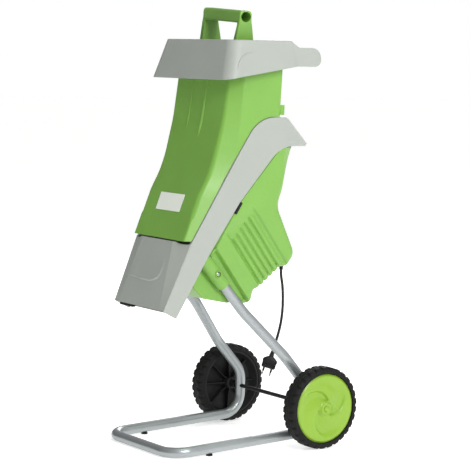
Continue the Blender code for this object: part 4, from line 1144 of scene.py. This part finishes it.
# ---------------- small parts and inside
def make_controls():
    """Blank plate, locking knob, and the switch with a bar and a ring on its buttons."""
    refined("label_plate", "hopper", 0.0003, 2)
    refined("locking_knob", "knob", 0.0012)
    refined("locking_bolt", "knob", 0.0005)
    refined("switch_frame", "chassis", 0.0012)
    for name in ("start", "stop", "reset"):
        refined(name + "_button", name + "_button", 0.0008)
    axis = Vector((-1.0, 0.0, -SIDE_FLARE)).normalized()
    for name in ("start", "stop"):
        low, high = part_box(name + "_button")
        middle = Vector((low.x, (low.y + high.y) / 2.0, (low.z + high.z) / 2.0))
        if name == "stop":
            mark = washer(0.0040, 0.0050, 0.0, 0.0006, 32)
        else:
            mark = box((-0.0048, -0.0006, 0.0), (0.0048, 0.0006, 0.0006))
        made = mesh_object(name + "_mark", place(mark, middle - axis * 0.0007, axis), LABEL)
        round_edges(made, 0.0)
        settle(made, name + "_button", slot="label_white")


def make_inside():
    """Cutting unit, seen when the hopper is tipped open."""
    for node in ("feed_plate", "counter_blade"):
        refined(node, "hopper", 0.0006)
    for node in ("blade_disc", "blade_1", "blade_2", "blade_screw_1", "blade_screw_2", "disc_nut"):
        refined(node, "rotor", 0.0005)


def finish_the_rest():
    """Every CAD node that is still shown gets its slot's material."""
    for name, node in frame["nodes"].items():
        if not node.hide_render:
            node.data.materials.clear()
            node.data.materials.append(LOOKS[SLOTS[name]])


# ---------------- floor and light
def make_stage():
    paint = finish_of("floor", (0.86, 0.86, 0.85), 0.75, mottle=0.006, grain=60.0, depth=0.0001)
    shader = paint.node_tree.nodes["Principled BSDF"]
    shader.inputs["Emission Color"].default_value = WHITE
    shader.inputs["Emission Strength"].default_value = FLOOR_GLOW
    far = 30.0
    corners = [(-far, -far, 0.0), (far, -far, 0.0), (far, far, 0.0), (-far, far, 0.0)]
    floor = mesh_object("floor", (corners, [(0, 1, 2, 3)]), paint)
    floor.location.z = -0.0002


def area_light(name, where, target, size, power):
    light = bpy.data.lights.new(name, "AREA")
    light.shape = "DISK"
    light.size = size
    light.energy = power
    made = new_object(name, light)
    made.location = where
    made.rotation_euler = (Vector(target) - Vector(where)).to_track_quat("-Z", "Y").to_euler()


def make_light():
    """White towards the camera, a leaning grey sky for the light, and three lamps."""
    scene = bpy.context.scene
    scene.view_settings.view_transform = "Standard"
    world = bpy.data.worlds.new("studio")
    scene.world = world
    world.use_nodes = True
    tree = world.node_tree
    sky = tree.nodes["Background"]
    coords, lean, level, seen, rays, mix = (
        tree.nodes.new("ShaderNode" + kind)
        for kind in ("TexCoord", "VectorMath", "Math", "Background", "LightPath", "MixShader"))
    lean.operation = "DOT_PRODUCT"
    lean.inputs[1].default_value = SKY_LEAN
    level.operation = "ADD"
    level.inputs[1].default_value = SKY_LEVEL
    sky.inputs["Color"].default_value = WHITE
    seen.inputs["Color"].default_value = WHITE
    seen.inputs["Strength"].default_value = 1.0
    link = tree.links.new
    link(coords.outputs["Generated"], lean.inputs[0])
    link(lean.outputs["Value"], level.inputs[0])
    link(level.outputs["Value"], sky.inputs["Strength"])
    link(rays.outputs["Is Camera Ray"], mix.inputs["Fac"])
    link(sky.outputs["Background"], mix.inputs[1])
    link(seen.outputs["Background"], mix.inputs[2])
    link(mix.outputs["Shader"], tree.nodes["World Output"].inputs["Surface"])
    centre = (0.0, 0.0, 0.5)
    area_light("key", (3.4, -0.45, 2.3), centre, 1.5, 84.0)
    area_light("top", (0.6, 0.4, 4.0), centre, 2.4, 24.0)
    area_light("rim", (-2.6, 2.8, 1.8), centre, 1.6, 45.0)


make_camera()
make_cord()
make_frame()
for wheel_name, wheel_side in SIDES:
    make_wheel(wheel_name, wheel_side)
make_housing()
make_bands()
make_chute()
make_funnel()
make_hood()
make_tamper()
make_controls()
make_inside()
finish_the_rest()
make_stage()
make_light()
